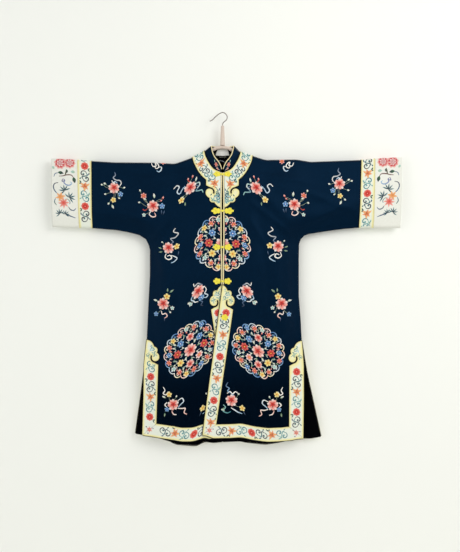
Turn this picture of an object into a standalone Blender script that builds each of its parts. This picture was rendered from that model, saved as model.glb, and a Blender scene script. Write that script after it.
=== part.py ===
"""Embroidered changshan robe with a centre-front opening, hung flat on its hanger, both sleeves held out.

Metres, +Z up, the front faces -Y. "left" and "right" are the viewer's, so left is -X.
Origin: inside the top of the hanger's hook, where a peg in the wall holds it.
The robe is two layers of cloth, front and back, that meet in a fold along the shoulders and sleeve tops
and in a seam along the underarms and sides. Each layer is a grid of points, worked out from sizes, and
every border, piping and frog that lies on a layer is made from those same points, moved out.
"""

import math

import bmesh
import bpy
import numpy as np
from mathutils import Vector

from mathutils.geometry import delaunay_2d_cdt

for old in list(bpy.data.objects):
    bpy.data.objects.remove(old)
ROBE = bpy.data.collections.new("changshan_robe")
bpy.context.scene.collection.children.link(ROBE)

# Cloth
WALL = 0.0014
TRIM_WALL = 0.0012
GAP = 0.0003
FOLD_RADIUS = 0.0080
BODY_DEPTH = 0.0210
SLEEVE_DEPTH = 0.0120
BACK_SHARE = 0.62
SEAM_RAMP = 0.085
TOP_RAMP = 0.110
SLEEVE_STARTS = 0.22
SLEEVE_FULL = 0.38
FREE_EDGE_SHARE = 0.55
SOFTEN = 0.008

# Where the right front laps over the left
LAP_LIFT = 0.0044
LAP_TOP_Z = -0.480
LAP_FULL_Z = -0.590
LAP_INNER_X = 0.090
LAP_OUTER_X = 0.200

# Trimmings
BAND = 0.053
HEM_BAND = 0.050
PIPING_WIDTH = 0.0045
RUYI_HEIGHT = 0.0910
CHEST_RUYI_SHARE = 0.90  # the heads on the chest are this much shorter
RUYI_CURL = (0.0410, 0.0275)
RUYI_CURL_RADIUS = 0.0135
RUYI_SLOT = 0.0065
EDGE_BAND_SHARE = 0.95  # the band down the opening is this share of BAND
NECK_INSET = 0.0012  # what lies round the neck keeps this far from its edge
MITRE_GAP = 0.0006
MERGE = 0.004  # grid points closer than this share of a cell become one
NECK_STEPS = 2
COLLAR_CLEARANCE = 0.0016
CROWN_TURN = (0.001, 0.0)
COLLAR_FRONT_X = 0.0040
COLLAR_INSIDE = 0.0002
COLLAR_PIPING_RADIUS = 0.0018
LABEL_WALL = 0.0006
LABEL_HALF = 1.62
LABEL_HEIGHTS = (0.20, 1.76)
FROG_WALL = 0.0028
KNOT_RADIUS = 0.0043
KNOT_FLATNESS = 0.8
PETAL_REACH = (0.64, 0.95, 1.0, 0.95)

# Hanger
ARM_RADIUS = 0.0066
ARM_REACH = 0.158
ARM_MIDDLE_Z = -0.1285
ARM_NECK_DIP = 0.0018
ARM_DIP_SHARES = (0.12, 0.50)  # of the dip, at the two columns between the middle and the neck
STEM_RADII = (0.0095, 0.0062)
STEM_TOP_Z = -0.046
HOOK_WIRE = 0.0018

SIDES = {"left": -1, "right": 1}

# The hook's wire from the stem up, over the origin and down to its tip: x, z
HOOK = [(0.0, -0.0425), (0.0040, -0.0355), (0.0150, -0.0250), (0.0175, -0.0130), (0.0100, -0.0020),
        (0.0000, 0.0018), (-0.0130, -0.0035), (-0.0270, -0.0150), (-0.0380, -0.0260), (-0.0480, -0.0310)]

# The outer line of the shoulders and sleeve tops, from the left cuff to the right one: x, z
TOP_LINE = [
    (-0.660, -0.1700),
    (-0.536, -0.1762),
    (-0.491, -0.1799),
    (-0.408, -0.1852),
    (-0.264, -0.1863),
    (-0.178, -0.1904),
    (-0.113, -0.1672),
    (-0.067, -0.1409),
    (0.068, -0.1458),
    (0.114, -0.1614),
    (0.161, -0.1762),
    (0.276, -0.1743),
    (0.330, -0.1833),
    (0.520, -0.1762),
    (0.569, -0.1714),
    (0.690, -0.1650),
]

# The seam from the sleeve's lower end round the underarm to the top of the side slit: x, z
SEAM = {
    "left": [(-0.700, -0.425), (-0.640, -0.4275), (-0.487, -0.432), (-0.399, -0.439), (-0.351, -0.448),
             (-0.312, -0.458), (-0.288, -0.473), (-0.277, -0.494), (-0.272, -0.513), (-0.272, -0.610),
             (-0.277, -0.701), (-0.284, -0.851)],
    "right": [(0.720, -0.431), (0.666, -0.4313), (0.510, -0.4303), (0.456, -0.4346), (0.386, -0.444),
              (0.325, -0.453), (0.307, -0.460), (0.293, -0.474), (0.287, -0.493), (0.286, -0.549),
              (0.286, -0.686), (0.293, -0.776), (0.297, -0.855)],
}

# The free edges below the slit's top, front and back: x, z
FRONT_SLIT = {
    "left": [(-0.284, -0.851), (-0.2925, -0.945), (-0.294, -1.058), (-0.2985, -1.2055)],
    "right": [(0.297, -0.855), (0.3025, -0.945), (0.303, -1.058), (0.301, -1.218)],
}
BACK_SLIT = {
    "left": [(-0.284, -0.851), (-0.2955, -0.971), (-0.311, -1.091), (-0.3265, -1.202)],
    "right": [(0.297, -0.855), (0.316, -0.971), (0.342, -1.091), (0.369, -1.213)],
}

# The hems, from left to right: x, z
FRONT_HEM = {
    "left": [(-0.2985, -1.2055), (-0.247, -1.211), (-0.179, -1.2195), (-0.150, -1.2245), (-0.100, -1.2220),
             (-0.050, -1.2160), (0.073, -1.2040)],
    "right": [(-0.074, -1.2030), (-0.034, -1.2130), (0.027, -1.2120), (0.071, -1.2110), (0.109, -1.2185),
              (0.159, -1.2245), (0.209, -1.2245), (0.259, -1.2220), (0.301, -1.218)],
}
BACK_HEM = {
    "left": [(-0.3265, -1.202), (-0.247, -1.218), (-0.198, -1.233), (-0.172, -1.2445), (-0.122, -1.2495),
             (-0.097, -1.2495), (-0.034, -1.238), (0.0, -1.2345)],
    "right": [(0.0, -1.2345), (0.083, -1.236), (0.154, -1.2445), (0.209, -1.238), (0.259, -1.227),
              (0.301, -1.2205), (0.369, -1.213)],
}

# The opening's edges, from the neck down to the hem: x, z
FRONT_EDGE = {
    "left": [(-0.0010, -0.2250), (-0.0030, -0.3260), (-0.0030, -0.4760), (-0.0010, -0.5590),
             (-0.0008, -0.6450), (0.0085, -0.7350), (0.0730, -1.2040)],
    "right": [(0.0010, -0.2250), (0.0030, -0.3260), (0.0032, -0.4760), (0.0010, -0.5590),
              (0.0008, -0.6450), (-0.0110, -0.7350), (-0.0740, -1.2030)],
}
LAP_STARTS = 4  # the row of FRONT_EDGE where the fronts begin to cross and the lower borders begin

# The columns of the layers' grids, on the right side: x
COLUMNS = [0.0, 0.022, 0.044, 0.0672, 0.088, 0.113, 0.140, 0.172, 0.206, 0.238, 0.264, 0.288, 0.320, 0.360,
           0.405, 0.455, 0.530]

# The neck seam from the opening to the shoulder, and on to the centre back: x on the right side, z
NECK_FRONT = [(0.0000, -0.2250), (0.0105, -0.2224), (0.0285, -0.2145), (0.0416, -0.2014), (0.0548, -0.1800),
              (0.0625, -0.1630), (0.0650, -0.1545), (0.0660, -0.1500), (0.0667, -0.1465), (0.0672, -0.1400)]
NECK_BACK = [(0.0672, -0.1400), (0.0666, -0.1470), (0.0656, -0.1505), (0.0620, -0.1550), (0.0350, -0.1620),
             (0.0000, -0.1650)]

# The top of the collar beside each point of the neck seam: x on the right side, z and how far it leans out
COLLAR_TOP_FRONT = [
    (0.0050, -0.2140, 0.003),
    (0.0095, -0.2000, 0.006),
    (0.0170, -0.1860, 0.009),
    (0.0270, -0.1740, 0.010),
    (0.0360, -0.1580, 0.010),
    (0.0402, -0.1440, 0.008),
    (0.0415, -0.1385, 0.006),
    (0.0423, -0.1340, 0.004),
    (0.0430, -0.1295, 0.002),
    (0.0435, -0.1250, 0.000),
]
COLLAR_TOP_BACK = [
    (0.0435, -0.1250, 0.0000),
    (0.0412, -0.1254, 0.0000),
    (0.0385, -0.1258, 0.0000),
    (0.0345, -0.1264, 0.0005),
    (0.0190, -0.1280, 0.0010),
    (0.0000, -0.1285, 0.0010),
]

# The three lobes of a ruyi head from its curl to its tip: where each ends, from the edge and from the band's
# shoulder, and how far it swells. The heads at the slits are fuller than those beside the opening.
LOBE_COLUMNS = ("across", "along", "swell")
OPENING_LOBES = [(0.0390, 0.0520, 0.0050), (0.0215, 0.0700, 0.0085), (0.0, RUYI_HEIGHT, 0.0028)]
SLIT_LOBES = [(0.0438, 0.0450, 0.0030), (0.0315, 0.0665, 0.0075), (0.0, RUYI_HEIGHT, 0.0065)]

# The outer edge of the border round the neck, from the shoulder to the ruyi head: x on the right side, z
NECK_BORDER = [(0.1130, -0.1500), (0.1090, -0.1800), (0.1000, -0.2010), (0.0890, -0.2220), (0.0750, -0.2400),
               (0.0600, -0.2530)]
NECK_BORDER_BACK = [(0.1130, -0.1500), (0.1060, -0.1850), (0.0800, -0.2080), (0.0400, -0.2200),
                    (0.0, -0.2230)]
CHEST_RUYI_Z = -0.2740

# The largest folds: where each starts and ends, how far it stands out and its half width
FOLD_COLUMNS = ("x0", "z0", "x1", "z1", "height", "width")
FRONT_FOLDS = [
    (0.105, -0.300, 0.128, -0.760, 0.0060, 0.026),
    (0.175, -0.400, 0.222, -0.800, 0.0065, 0.030),
    (0.120, -0.270, 0.262, -0.420, 0.0050, 0.028),
    (0.052, -0.560, 0.060, -0.760, 0.0045, 0.022),
    (0.170, -0.980, 0.185, -1.225, 0.0085, 0.040),
    (0.080, -1.000, 0.090, -1.225, -0.0050, 0.030),
    (0.300, -0.405, 0.500, -0.330, 0.0045, 0.026),
    (0.180, -0.235, 0.330, -0.225, 0.0035, 0.022),
    (-0.150, -0.960, -0.140, -1.225, 0.0080, 0.045),
    (-0.135, -0.560, -0.128, -0.780, 0.0040, 0.030),
    (-0.230, -0.480, -0.215, -0.700, 0.0035, 0.028),
    (-0.480, -0.370, -0.300, -0.400, 0.0045, 0.026),
    (-0.120, -0.215, -0.260, -0.225, 0.0035, 0.022),
]
BACK_FOLDS = [
    (-0.110, -0.900, -0.112, -1.250, 0.0080, 0.045),
    (0.155, -0.900, 0.160, -1.250, 0.0080, 0.045),
    (0.020, -1.000, 0.022, -1.240, -0.0040, 0.040),
    (0.090, -0.300, 0.105, -0.760, 0.0040, 0.032),
    (-0.090, -0.300, -0.105, -0.760, 0.0040, 0.032),
    (0.140, -0.280, 0.262, -0.430, 0.0040, 0.028),
    (-0.140, -0.280, -0.250, -0.430, 0.0040, 0.028),
    (0.310, -0.400, 0.490, -0.340, 0.0035, 0.026),
    (-0.310, -0.400, -0.470, -0.345, 0.0035, 0.026),
]

# Sleeve ends and the tubes sewn to them: x of each seam at the top and at the bottom
SLEEVE_END = {"left": (-0.4905, -0.4870), "right": (0.5200, 0.5110)}
CUFF_SEAM = {"left": (-0.5415, -0.5355), "right": (0.5700, 0.5640)}
CUFF_END = {"left": (-0.6400, -0.6370), "right": (0.6700, 0.6660)}

# The frogs: a flower on each side of the opening. A raised one lies on a border, the others on the satin
FROG_COLUMNS = ("z", "left_x", "right_x", "half_width", "half_height", "raised")
FROGS = [
    (-0.2325, -0.0200, 0.0200, 0.0145, 0.0105, True),
    (-0.3690, -0.0240, 0.0245, 0.0180, 0.0125, False),
    (-0.5040, -0.0215, 0.0215, 0.0145, 0.0125, False),
    (-0.6305, -0.0200, 0.0200, 0.0145, 0.0125, False),
    (-0.7650, None, 0.0090, 0.0135, 0.0130, True),
]

# One material for each kind of cloth: colour, roughness, metallic
FINISH = {
    "navy_satin": ((0.004, 0.013, 0.035), 0.40, 0.0),
    "ribbon": ((0.72, 0.75, 0.62), 0.55, 0.0),
    "cuff_satin": ((0.80, 0.80, 0.72), 0.50, 0.0),
    "cream_piping": ((0.80, 0.70, 0.38), 0.50, 0.0),
    "yellow_cord": ((0.90, 0.70, 0.04), 0.45, 0.0),
    "label": ((0.75, 0.76, 0.72), 0.60, 0.0),
    "hanger_pad": ((0.62, 0.50, 0.42), 0.50, 0.0),
    "hook_wire": ((0.20, 0.18, 0.17), 0.30, 1.0),
}


def ramp(share):
    """Rises from 0 at 0 to 1 at 1 and stays there, steep at first, as cloth leaves a seam."""
    return np.sin(0.5 * math.pi * np.clip(share, 0.0, 1.0))


def ease(share):
    """Goes smoothly from 0 at 0 to 1 at 1, flat at both ends."""
    t = np.clip(share, 0.0, 1.0)
    return t * t * (3.0 - 2.0 * t)


def distance_to_line(x, z, line):
    """The distance from each point to a line of (x, z) points."""
    nearest = np.full(np.shape(x), np.inf)
    for (ax, az), (bx, bz) in zip(line[:-1], line[1:]):
        ux, uz = bx - ax, bz - az
        along = np.clip(((x - ax) * ux + (z - az) * uz) / (ux * ux + uz * uz), 0.0, 1.0)
        nearest = np.minimum(nearest, np.hypot(x - ax - along * ux, z - az - along * uz))
    return nearest


def shoulder_z(x):
    """The height of the inside of the shoulder fold above each x, the top line with its corners softened."""
    line_x, line_z = zip(*TOP_LINE)
    spread = (-SOFTEN, -SOFTEN / 2, 0.0, SOFTEN / 2, SOFTEN)
    return sum(np.interp(x + step, line_x, line_z) for step in spread) / len(spread) - WALL


def fold_height(x, z, table):
    """How far the folds of a table move the cloth out at each point."""
    out = np.zeros(np.shape(x))
    for row in table:
        fold = dict(zip(FOLD_COLUMNS, row))
        ux, uz = fold["x1"] - fold["x0"], fold["z1"] - fold["z0"]
        length = math.hypot(ux, uz)
        along = ((x - fold["x0"]) * ux + (z - fold["z0"]) * uz) / length**2
        across = ((x - fold["x0"]) * uz - (z - fold["z0"]) * ux) / length
        fade = ease((along + 0.15) / 0.45) * ease((1.15 - along) / 0.30)
        out += fold["height"] * fade * np.exp(-((across / fold["width"]) ** 2))
    return out


def layer_point(x, s, face):
    """A point on a layer's inner side: face is front_left, front_right, back_left or back_right.

    s is measured down the cloth from the crown of the shoulder fold: a quarter circle, then straight down.
    The layer's depth is the fold's radius, grown to the full depth below it, and closed again at the seams.
    """
    x, s = np.broadcast_arrays(np.asarray(x, float), np.asarray(s, float))
    side, front = face.split("_")[1], face.startswith("front")
    quarter = 0.5 * math.pi * FOLD_RADIUS
    turn = np.clip(s / FOLD_RADIUS, 0.0, 0.5 * math.pi)
    z = shoulder_z(x) - FOLD_RADIUS * (1.0 - np.cos(turn)) - np.maximum(s - quarter, 0.0)
    share = ease((np.abs(x) - SLEEVE_STARTS) / (SLEEVE_FULL - SLEEVE_STARTS))
    full = BODY_DEPTH + (SLEEVE_DEPTH - BODY_DEPTH) * share
    if not front:
        full = full * BACK_SHARE
    seam = np.minimum(*(distance_to_line(x, z, SEAM[name]) for name in SIDES))
    free_line = (FRONT_SLIT if front else BACK_SLIT)[side]
    free = ramp(distance_to_line(x, z, free_line) / SEAM_RAMP)
    close = ramp(seam / SEAM_RAMP) * (FREE_EDGE_SHARE + (1.0 - FREE_EDGE_SHARE) * free)
    below = ease((s - quarter) / TOP_RAMP)
    folds = fold_height(x, z, FRONT_FOLDS if front else BACK_FOLDS)
    fold_part = np.minimum(FOLD_RADIUS, full) * np.sin(turn)
    depth = close * (fold_part + np.maximum(full - FOLD_RADIUS, 0.0) * below + folds * below)
    if front and side == "right":
        lap = ease((z - LAP_TOP_Z) / (LAP_FULL_Z - LAP_TOP_Z))
        depth = depth + LAP_LIFT * lap * ease((LAP_OUTER_X - x) / (LAP_OUTER_X - LAP_INNER_X))
    out = -1.0 if front else 1.0
    return np.stack([x, out * (0.5 * GAP + depth), z], axis=-1)


def down_the_cloth(x, z):
    """The s of layer_point at a place in the front view. Above the fold's crown it is 0."""
    drop = np.maximum(shoulder_z(x) - z, 0.0)
    inside = FOLD_RADIUS * np.arccos(1.0 - np.minimum(drop, FOLD_RADIUS) / FOLD_RADIUS)
    return inside + np.maximum(drop - FOLD_RADIUS, 0.0)


def normals_of(columns, rows, place, out):
    """The unit normals of a surface, from its slopes, turned to point the way that out gives."""
    step = 0.0008
    i, j = np.meshgrid(columns, rows, indexing="ij")
    along = place(i + step, j) - place(i - step, j)
    down = place(i, j + step) - place(i, np.maximum(j - step, 0.0))
    normal = np.cross(along, down)
    normal /= np.linalg.norm(normal, axis=-1, keepdims=True)
    return normal * out


class Sheet:
    """A surface as a grid of points and normals. A place on it is (i, j), counted in columns and rows, and
    between grid points it lies on flat triangles, so everything laid on it keeps the same facets."""

    def __init__(self, points, normals):
        self.points = points
        self.normals = normals

    def at(self, x, s):
        """The (i, j) of a place on a layer, from its x and how far down the cloth it is."""
        i = np.interp(x, self.columns, np.arange(len(self.columns)))
        return i, np.interp(s, self.rows, np.arange(len(self.rows)))

    def blend(self, values, i, j):
        """The value at each (i, j), from the three corners of its triangle."""
        last_i, last_j = values.shape[0] - 2, values.shape[1] - 2
        ci = np.clip(np.floor(i).astype(int), 0, last_i)
        cj = np.clip(np.floor(j).astype(int), 0, last_j)
        fi, fj = (i - ci)[:, None], (j - cj)[:, None]
        corner, across = values[ci, cj], values[ci + 1, cj]
        down, far = values[ci, cj + 1], values[ci + 1, cj + 1]
        upper = corner + fi * (across - corner) + fj * (far - across)
        lower = corner + fj * (down - corner) + fi * (far - down)
        return np.where(fi >= fj, upper, lower)

    def lay(self, name, outline, low, high, finish):
        """A closed solid over the outline's part of the sheet, from low to high above it."""
        i, j = np.array(outline, float).T
        if np.dot(i, np.roll(j, -1)) < np.dot(j, np.roll(i, -1)):
            i, j = i[::-1], j[::-1]
        lines = grid_lines(i.min(), i.max(), j.min(), j.max())
        corners = [Vector(p) for p in zip(i, j)]
        ends = [Vector(p) for line in lines for p in line]
        edges = [(len(corners) + 2 * k, len(corners) + 2 * k + 1) for k in range(len(lines))]
        loop = list(range(len(corners)))
        flat, _, faces, _, _, owners = delaunay_2d_cdt(corners + ends, edges, [loop], 1, MERGE)
        faces = [face for face, owner in zip(faces, owners) if owner]
        used = sorted({k for face in faces for k in face})
        mesh = bmesh.new()
        made = {k: mesh.verts.new((flat[k][0], flat[k][1], 0.0)) for k in used}
        for face in faces:
            mesh.faces.new([made[k] for k in face])
        lifted = bmesh.ops.extrude_face_region(mesh, geom=mesh.faces[:])["geom"]
        for vert in lifted:
            if isinstance(vert, bmesh.types.BMVert):
                vert.co.z = 1.0
        grid = np.array([vert.co[:] for vert in mesh.verts])
        point = self.blend(self.points, grid[:, 0], grid[:, 1])
        normal = self.blend(self.normals, grid[:, 0], grid[:, 1])
        height = low + (high - low) * grid[:, 2:3]
        for vert, place in zip(mesh.verts, point + normal * height):
            vert.co = place
        return finished(name, mesh, finish)


def grid_lines(i0, i1, j0, j1):
    """The column lines, row lines and triangle diagonals that cross a box of the grid, each as two points."""
    lines = [((k, j0), (k, j1)) for k in range(math.ceil(i0), math.floor(i1) + 1)]
    lines += [((i0, k), (i1, k)) for k in range(math.ceil(j0), math.floor(j1) + 1)]
    for k in range(math.ceil(i0 - j1), math.floor(i1 - j0) + 1):
        start, end = max(j0, i0 - k), min(j1, i1 - k)
        if end > start:
            lines.append(((start + k, start), (end + k, end)))
    return lines


def finished(name, mesh, finish):
    """Turns a bmesh into the named object of one node, with its material, faces out."""
    bmesh.ops.triangulate(mesh, faces=mesh.faces[:])
    bmesh.ops.recalc_face_normals(mesh, faces=mesh.faces[:])
    if mesh.calc_volume(signed=True) < 0.0:
        bmesh.ops.reverse_faces(mesh, faces=mesh.faces[:])
    data = bpy.data.meshes.new(name)
    mesh.to_mesh(data)
    mesh.free()
    made = bpy.data.objects.new(name, data)
    ROBE.objects.link(made)
    made.data.materials.append(material(finish))
    return made


def material(name):
    """The Principled material of one kind of cloth, made once."""
    found = bpy.data.materials.get(name)
    if found:
        return found
    colour, roughness, metallic = FINISH[name]
    made = bpy.data.materials.new(name)
    made.use_nodes = True
    shader = made.node_tree.nodes["Principled BSDF"]
    shader.inputs["Base Color"].default_value = (*colour, 1.0)
    shader.inputs["Roughness"].default_value = roughness
    shader.inputs["Metallic"].default_value = metallic
    made.diffuse_color = (*colour, 1.0)
    return made


def layer_sheet(face):
    """The grid of one layer: its rows are close together round the fold and wider below it."""
    quarter = 0.5 * math.pi * FOLD_RADIUS
    fold_rows = np.linspace(0.0, quarter, 4)
    sleeve_rows = quarter + np.array([0.022, 0.050, 0.082, 0.118, 0.156, 0.194, 0.228, 0.258, 0.290])
    body_rows = np.arange(sleeve_rows[-1] + 0.052, 1.140, 0.060)
    rows = np.concatenate([fold_rows, sleeve_rows, body_rows])
    columns = np.array([-x for x in COLUMNS[:0:-1]] + COLUMNS)

    def place(x, s):
        return layer_point(x, s, face)

    x, s = np.meshgrid(columns, rows, indexing="ij")
    out = -1.0 if face.startswith("front") else 1.0
    sheet = Sheet(place(x, s), normals_of(columns, rows, place, out))
    sheet.columns, sheet.rows = columns, rows
    return sheet


def on_layer(sheet, outline):
    """An outline of (x, z) places in the front view, as (i, j) places on a layer's grid."""
    x, z = np.array(outline, float).T
    return list(zip(*sheet.at(x, down_the_cloth(x, z))))


def arc(centre, radius, start, end, steps):
    """Points of an arc, angles in degrees."""
    angles = np.radians(np.linspace(start, end, steps + 1))
    return [(centre[0] + radius * math.cos(a), centre[1] + radius * math.sin(a)) for a in angles]


def mirrored(points, sign):
    """The points on the side that the sign gives."""
    return [(sign * x, z) for x, z in points]


def line_at(line, z):
    """The x of a line of (x, z) points, which runs downwards, at a height."""
    return float(np.interp(-z, [-row[1] for row in line], [row[0] for row in line]))


def swelling(start, end, swell, steps):
    """Points of a lobe's edge from start, left out, to end: straight, swelling outward by a sine."""
    (ax, az), (bx, bz) = start, end
    length = math.hypot(bx - ax, bz - az)
    points = []
    for t in np.arange(1, steps + 1) / steps:
        out = swell * math.sin(math.pi * t) ** 0.8 / length
        points.append((ax + (bx - ax) * t + out * (bz - az), az + (bz - az) * t - out * (bx - ax)))
    return points


def ruyi(width, lobes):
    """The outer edge of a ruyi cloud head from its band's shoulder to its tip, as (across, along).

    The slot runs in under the curl to its eye, the curl turns back round it, and three lobes lead to the tip.
    """
    scale = width / BAND
    points = arc(RUYI_CURL, RUYI_CURL_RADIUS + RUYI_SLOT, -100, -205, 5)
    points += arc(RUYI_CURL, RUYI_CURL_RADIUS, -205, 0, 7)
    for row in lobes:
        lobe = dict(zip(LOBE_COLUMNS, row))
        points += swelling(points[-1], (lobe["across"], lobe["along"]), lobe["swell"], 4)
    return [(width, 0.0)] + [(a * scale, h) for a, h in points]


def beside(line, sign, shift):
    """A line of (x, z) points moved sideways into the panel."""
    return [(x + sign * shift, z) for x, z in line]


def front_outline(side):
    """The cut of one front with its half sleeve, in the front view."""
    sign = SIDES[side]
    top, bottom = SLEEVE_END[side]
    seam = [p for p in SEAM[side] if abs(p[0]) < abs(bottom) - 0.004]
    hem = FRONT_HEM[side] if side == "left" else FRONT_HEM[side][::-1]
    neck = mirrored(neck_line(NECK_FRONT)[1:], sign)
    shoulder = [(x, 0.0) for x in (0.5 * sign * abs(top), 0.75 * sign * abs(top))]
    edge = FRONT_EDGE[side]
    return ([(top, 0.0), (bottom, line_at_x(SEAM[side], bottom))] + seam + FRONT_SLIT[side][1:] + hem[1:]
            + edge[::-1][1:] + neck + shoulder)


def back_outline(side):
    """The cut of one half of the back with its half sleeve, up to the centre back seam."""
    sign = SIDES[side]
    top, bottom = SLEEVE_END[side]
    seam = [p for p in SEAM[side] if abs(p[0]) < abs(bottom) - 0.004]
    hem = BACK_HEM[side] if side == "left" else BACK_HEM[side][::-1]
    centre = sign * 0.5 * GAP
    hem = [(centre if abs(x) < GAP else x, z) for x, z in hem]
    neck = [(centre, NECK_BACK[-1][1])] + mirrored(neck_line(NECK_BACK)[:-1], sign)[::-1]
    shoulder = [(x, 0.0) for x in (0.5 * sign * abs(top), 0.75 * sign * abs(top))]
    return ([(top, 0.0), (bottom, line_at_x(SEAM[side], bottom))] + seam + BACK_SLIT[side][1:] + hem[1:]
            + neck + shoulder)


def line_at_x(line, x):
    """The z of a line of (x, z) points at an x."""
    rows = sorted(line)
    return float(np.interp(x, [row[0] for row in rows], [row[1] for row in rows]))


def make_panels(sheets):
    """The two fronts and the two halves of the back."""
    for side in SIDES:
        front, back = sheets["front_" + side], sheets["back_" + side]
        front.lay("front_" + side, on_layer(front, front_outline(side)), 0.0, WALL, "navy_satin")
        back.lay("back_" + side, on_layer(back, back_outline(side)), 0.0, WALL, "navy_satin")


def lay_on(sheets, face, name, outline, finish, over=0.0, wall=TRIM_WALL):
    """A trimming on a layer, a gap above the cloth or above what lies under it."""
    low = WALL + GAP + over
    sheets[face].lay(name, on_layer(sheets[face], outline), low, low + wall, finish)


def make_neck_borders(sheets):
    """The border round the neck, over the shoulder and down to a ruyi head on each side of the opening."""
    for side, sign in SIDES.items():
        inner = [(x + NECK_INSET, z - 0.0008) for x, z in neck_line(NECK_FRONT)[2:]]
        beside_piping = mirrored(beside(FRONT_EDGE[side], sign, PIPING_WIDTH + 2 * GAP), sign)
        start_z, middle_z = NECK_FRONT[0][1] - NECK_INSET, FRONT_EDGE[side][1][1]
        rows = [(a, CHEST_RUYI_Z - CHEST_RUYI_SHARE * h) for a, h in ruyi(BAND, OPENING_LOBES)]
        head = [(line_at(beside_piping, z) + a, z) for a, z in rows]
        edge = [(line_at(beside_piping, z), z) for z in (middle_z, start_z)]
        outline = inner + NECK_BORDER + head + edge
        lay_on(sheets, "front_" + side, "neck_border_" + side, mirrored(outline, sign), "ribbon")
        inner_back = [(x + NECK_INSET, z - NECK_INSET) for x, z in neck_line(NECK_BACK)[:-1]]
        outline = ([(0.5 * GAP, NECK_BACK[-1][1] - NECK_INSET)] + inner_back[::-1]
                   + neck_line(NECK_BORDER_BACK)[:-1]
                   + [(0.5 * GAP, NECK_BORDER_BACK[-1][1])])
        lay_on(sheets, "back_" + side, "neck_border_back_" + side, mirrored(outline, sign), "ribbon")


def make_pipings(sheets):
    """The narrow piping along both edges of the opening, from the neck to the lower borders."""
    for side, sign in SIDES.items():
        edge = FRONT_EDGE[side][:LAP_STARTS]
        last_z = FRONT_EDGE[side][LAP_STARTS][1] + 0.002
        edge = edge + [(line_at(FRONT_EDGE[side], last_z), last_z)]
        start = (edge[0][0], edge[0][1] - NECK_INSET)
        outline = [start] + edge[1:] + beside([start] + edge[1:], sign, PIPING_WIDTH)[::-1]
        lay_on(sheets, "front_" + side, "front_piping_" + side, outline, "cream_piping")


def side_border(slit, hem, sign):
    """A ruyi head at the top of a slit and the band below it, down to the mitre at the hem."""
    top = slit[0][1]
    head = [(line_at(slit, top - RUYI_HEIGHT + h) - sign * a, top - RUYI_HEIGHT + h)
            for a, h in ruyi(BAND, SLIT_LOBES)]
    corner_x, corner_z = slit[-1]
    inner_x = corner_x - sign * BAND
    inner_z = line_at_x(hem, inner_x) + HEM_BAND
    return head[::-1] + [(inner_x, inner_z), (corner_x, corner_z)] + slit[1:-1][::-1]


def along_hem(hem, x0, x1):
    """The points of a hem strictly between two x values, in the hem's own order."""
    low, high = min(x0, x1), max(x0, x1)
    return [p for p in hem if low + 0.004 < p[0] < high - 0.004]


def hem_border(hem, start_x, start_band, end_x, end_band):
    """The band along a hem, mitred into the bands at both ends. Every x runs from left to right."""
    gap = MITRE_GAP
    in_start, in_end = start_x + start_band, end_x - end_band
    lower = [(start_x + gap, line_at_x(hem, start_x))] + along_hem(hem, start_x, end_x)
    lower += [(end_x - gap, line_at_x(hem, end_x))]
    upper = [(in_start + gap, line_at_x(hem, in_start) + HEM_BAND)]
    upper += [(x, z + HEM_BAND) for x, z in along_hem(hem, in_start, in_end)]
    upper += [(in_end - gap, line_at_x(hem, in_end) + HEM_BAND)]
    return lower + upper[::-1]


def front_edge_border(side):
    """The ruyi head and band down the edge of the opening, to the mitre at the hem."""
    sign = SIDES[side]
    edge, hem = FRONT_EDGE[side], FRONT_HEM[side]
    top = edge[LAP_STARTS][1]
    width = BAND * EDGE_BAND_SHARE
    head = [(line_at(edge, top - RUYI_HEIGHT + h) + sign * a, top - RUYI_HEIGHT + h)
            for a, h in ruyi(width, OPENING_LOBES)]
    corner_x, corner_z = edge[-1]
    inner_x = corner_x + sign * width
    inner_z = line_at_x(hem, inner_x) + HEM_BAND
    return head[::-1] + [(inner_x, inner_z), (corner_x, corner_z)] + edge[LAP_STARTS + 1:-1][::-1]


def make_skirt_borders(sheets):
    """The borders of the slits, the hems and the lower opening, with ruyi heads, front and back."""
    for side, sign in SIDES.items():
        hem, back_hem = FRONT_HEM[side], BACK_HEM[side]
        front, back = "front_" + side, "back_" + side
        lay_on(sheets, front, "side_border_" + side, side_border(FRONT_SLIT[side], hem, sign), "ribbon")
        lay_on(sheets, front, "front_border_" + side, front_edge_border(side), "ribbon")
        slit_x, edge_x = FRONT_SLIT[side][-1][0], FRONT_EDGE[side][-1][0]
        widths = (BAND, EDGE_BAND_SHARE * BAND)
        ends = ((slit_x, widths[0]), (edge_x, widths[1]))
        (x0, band0), (x1, band1) = sorted(ends)
        lay_on(sheets, front, "hem_border_" + side, hem_border(hem, x0, band0, x1, band1), "ribbon")
        outline = side_border(BACK_SLIT[side], back_hem, sign)
        lay_on(sheets, back, "side_border_back_" + side, outline, "ribbon")
        centre, slit_x = sign * 0.5 * GAP, BACK_SLIT[side][-1][0]
        (x0, band0), (x1, band1) = sorted(((slit_x, BAND), (centre, 0.0)))
        outline = hem_border(back_hem, x0, band0, x1, band1)
        lay_on(sheets, back, "hem_border_back_" + side, outline, "ribbon")


def flower(x, z, half_width, half_height):
    """The outline of one half of a frog: five round petals, each from a notch up to its crown and down."""
    points = []
    for k in range(20):
        angle = 2.0 * math.pi * (k - 2) / 20
        reach = PETAL_REACH[k % len(PETAL_REACH)]
        points.append((x + half_width * reach * math.cos(angle), z + half_height * reach * math.sin(angle)))
    return points


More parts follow.
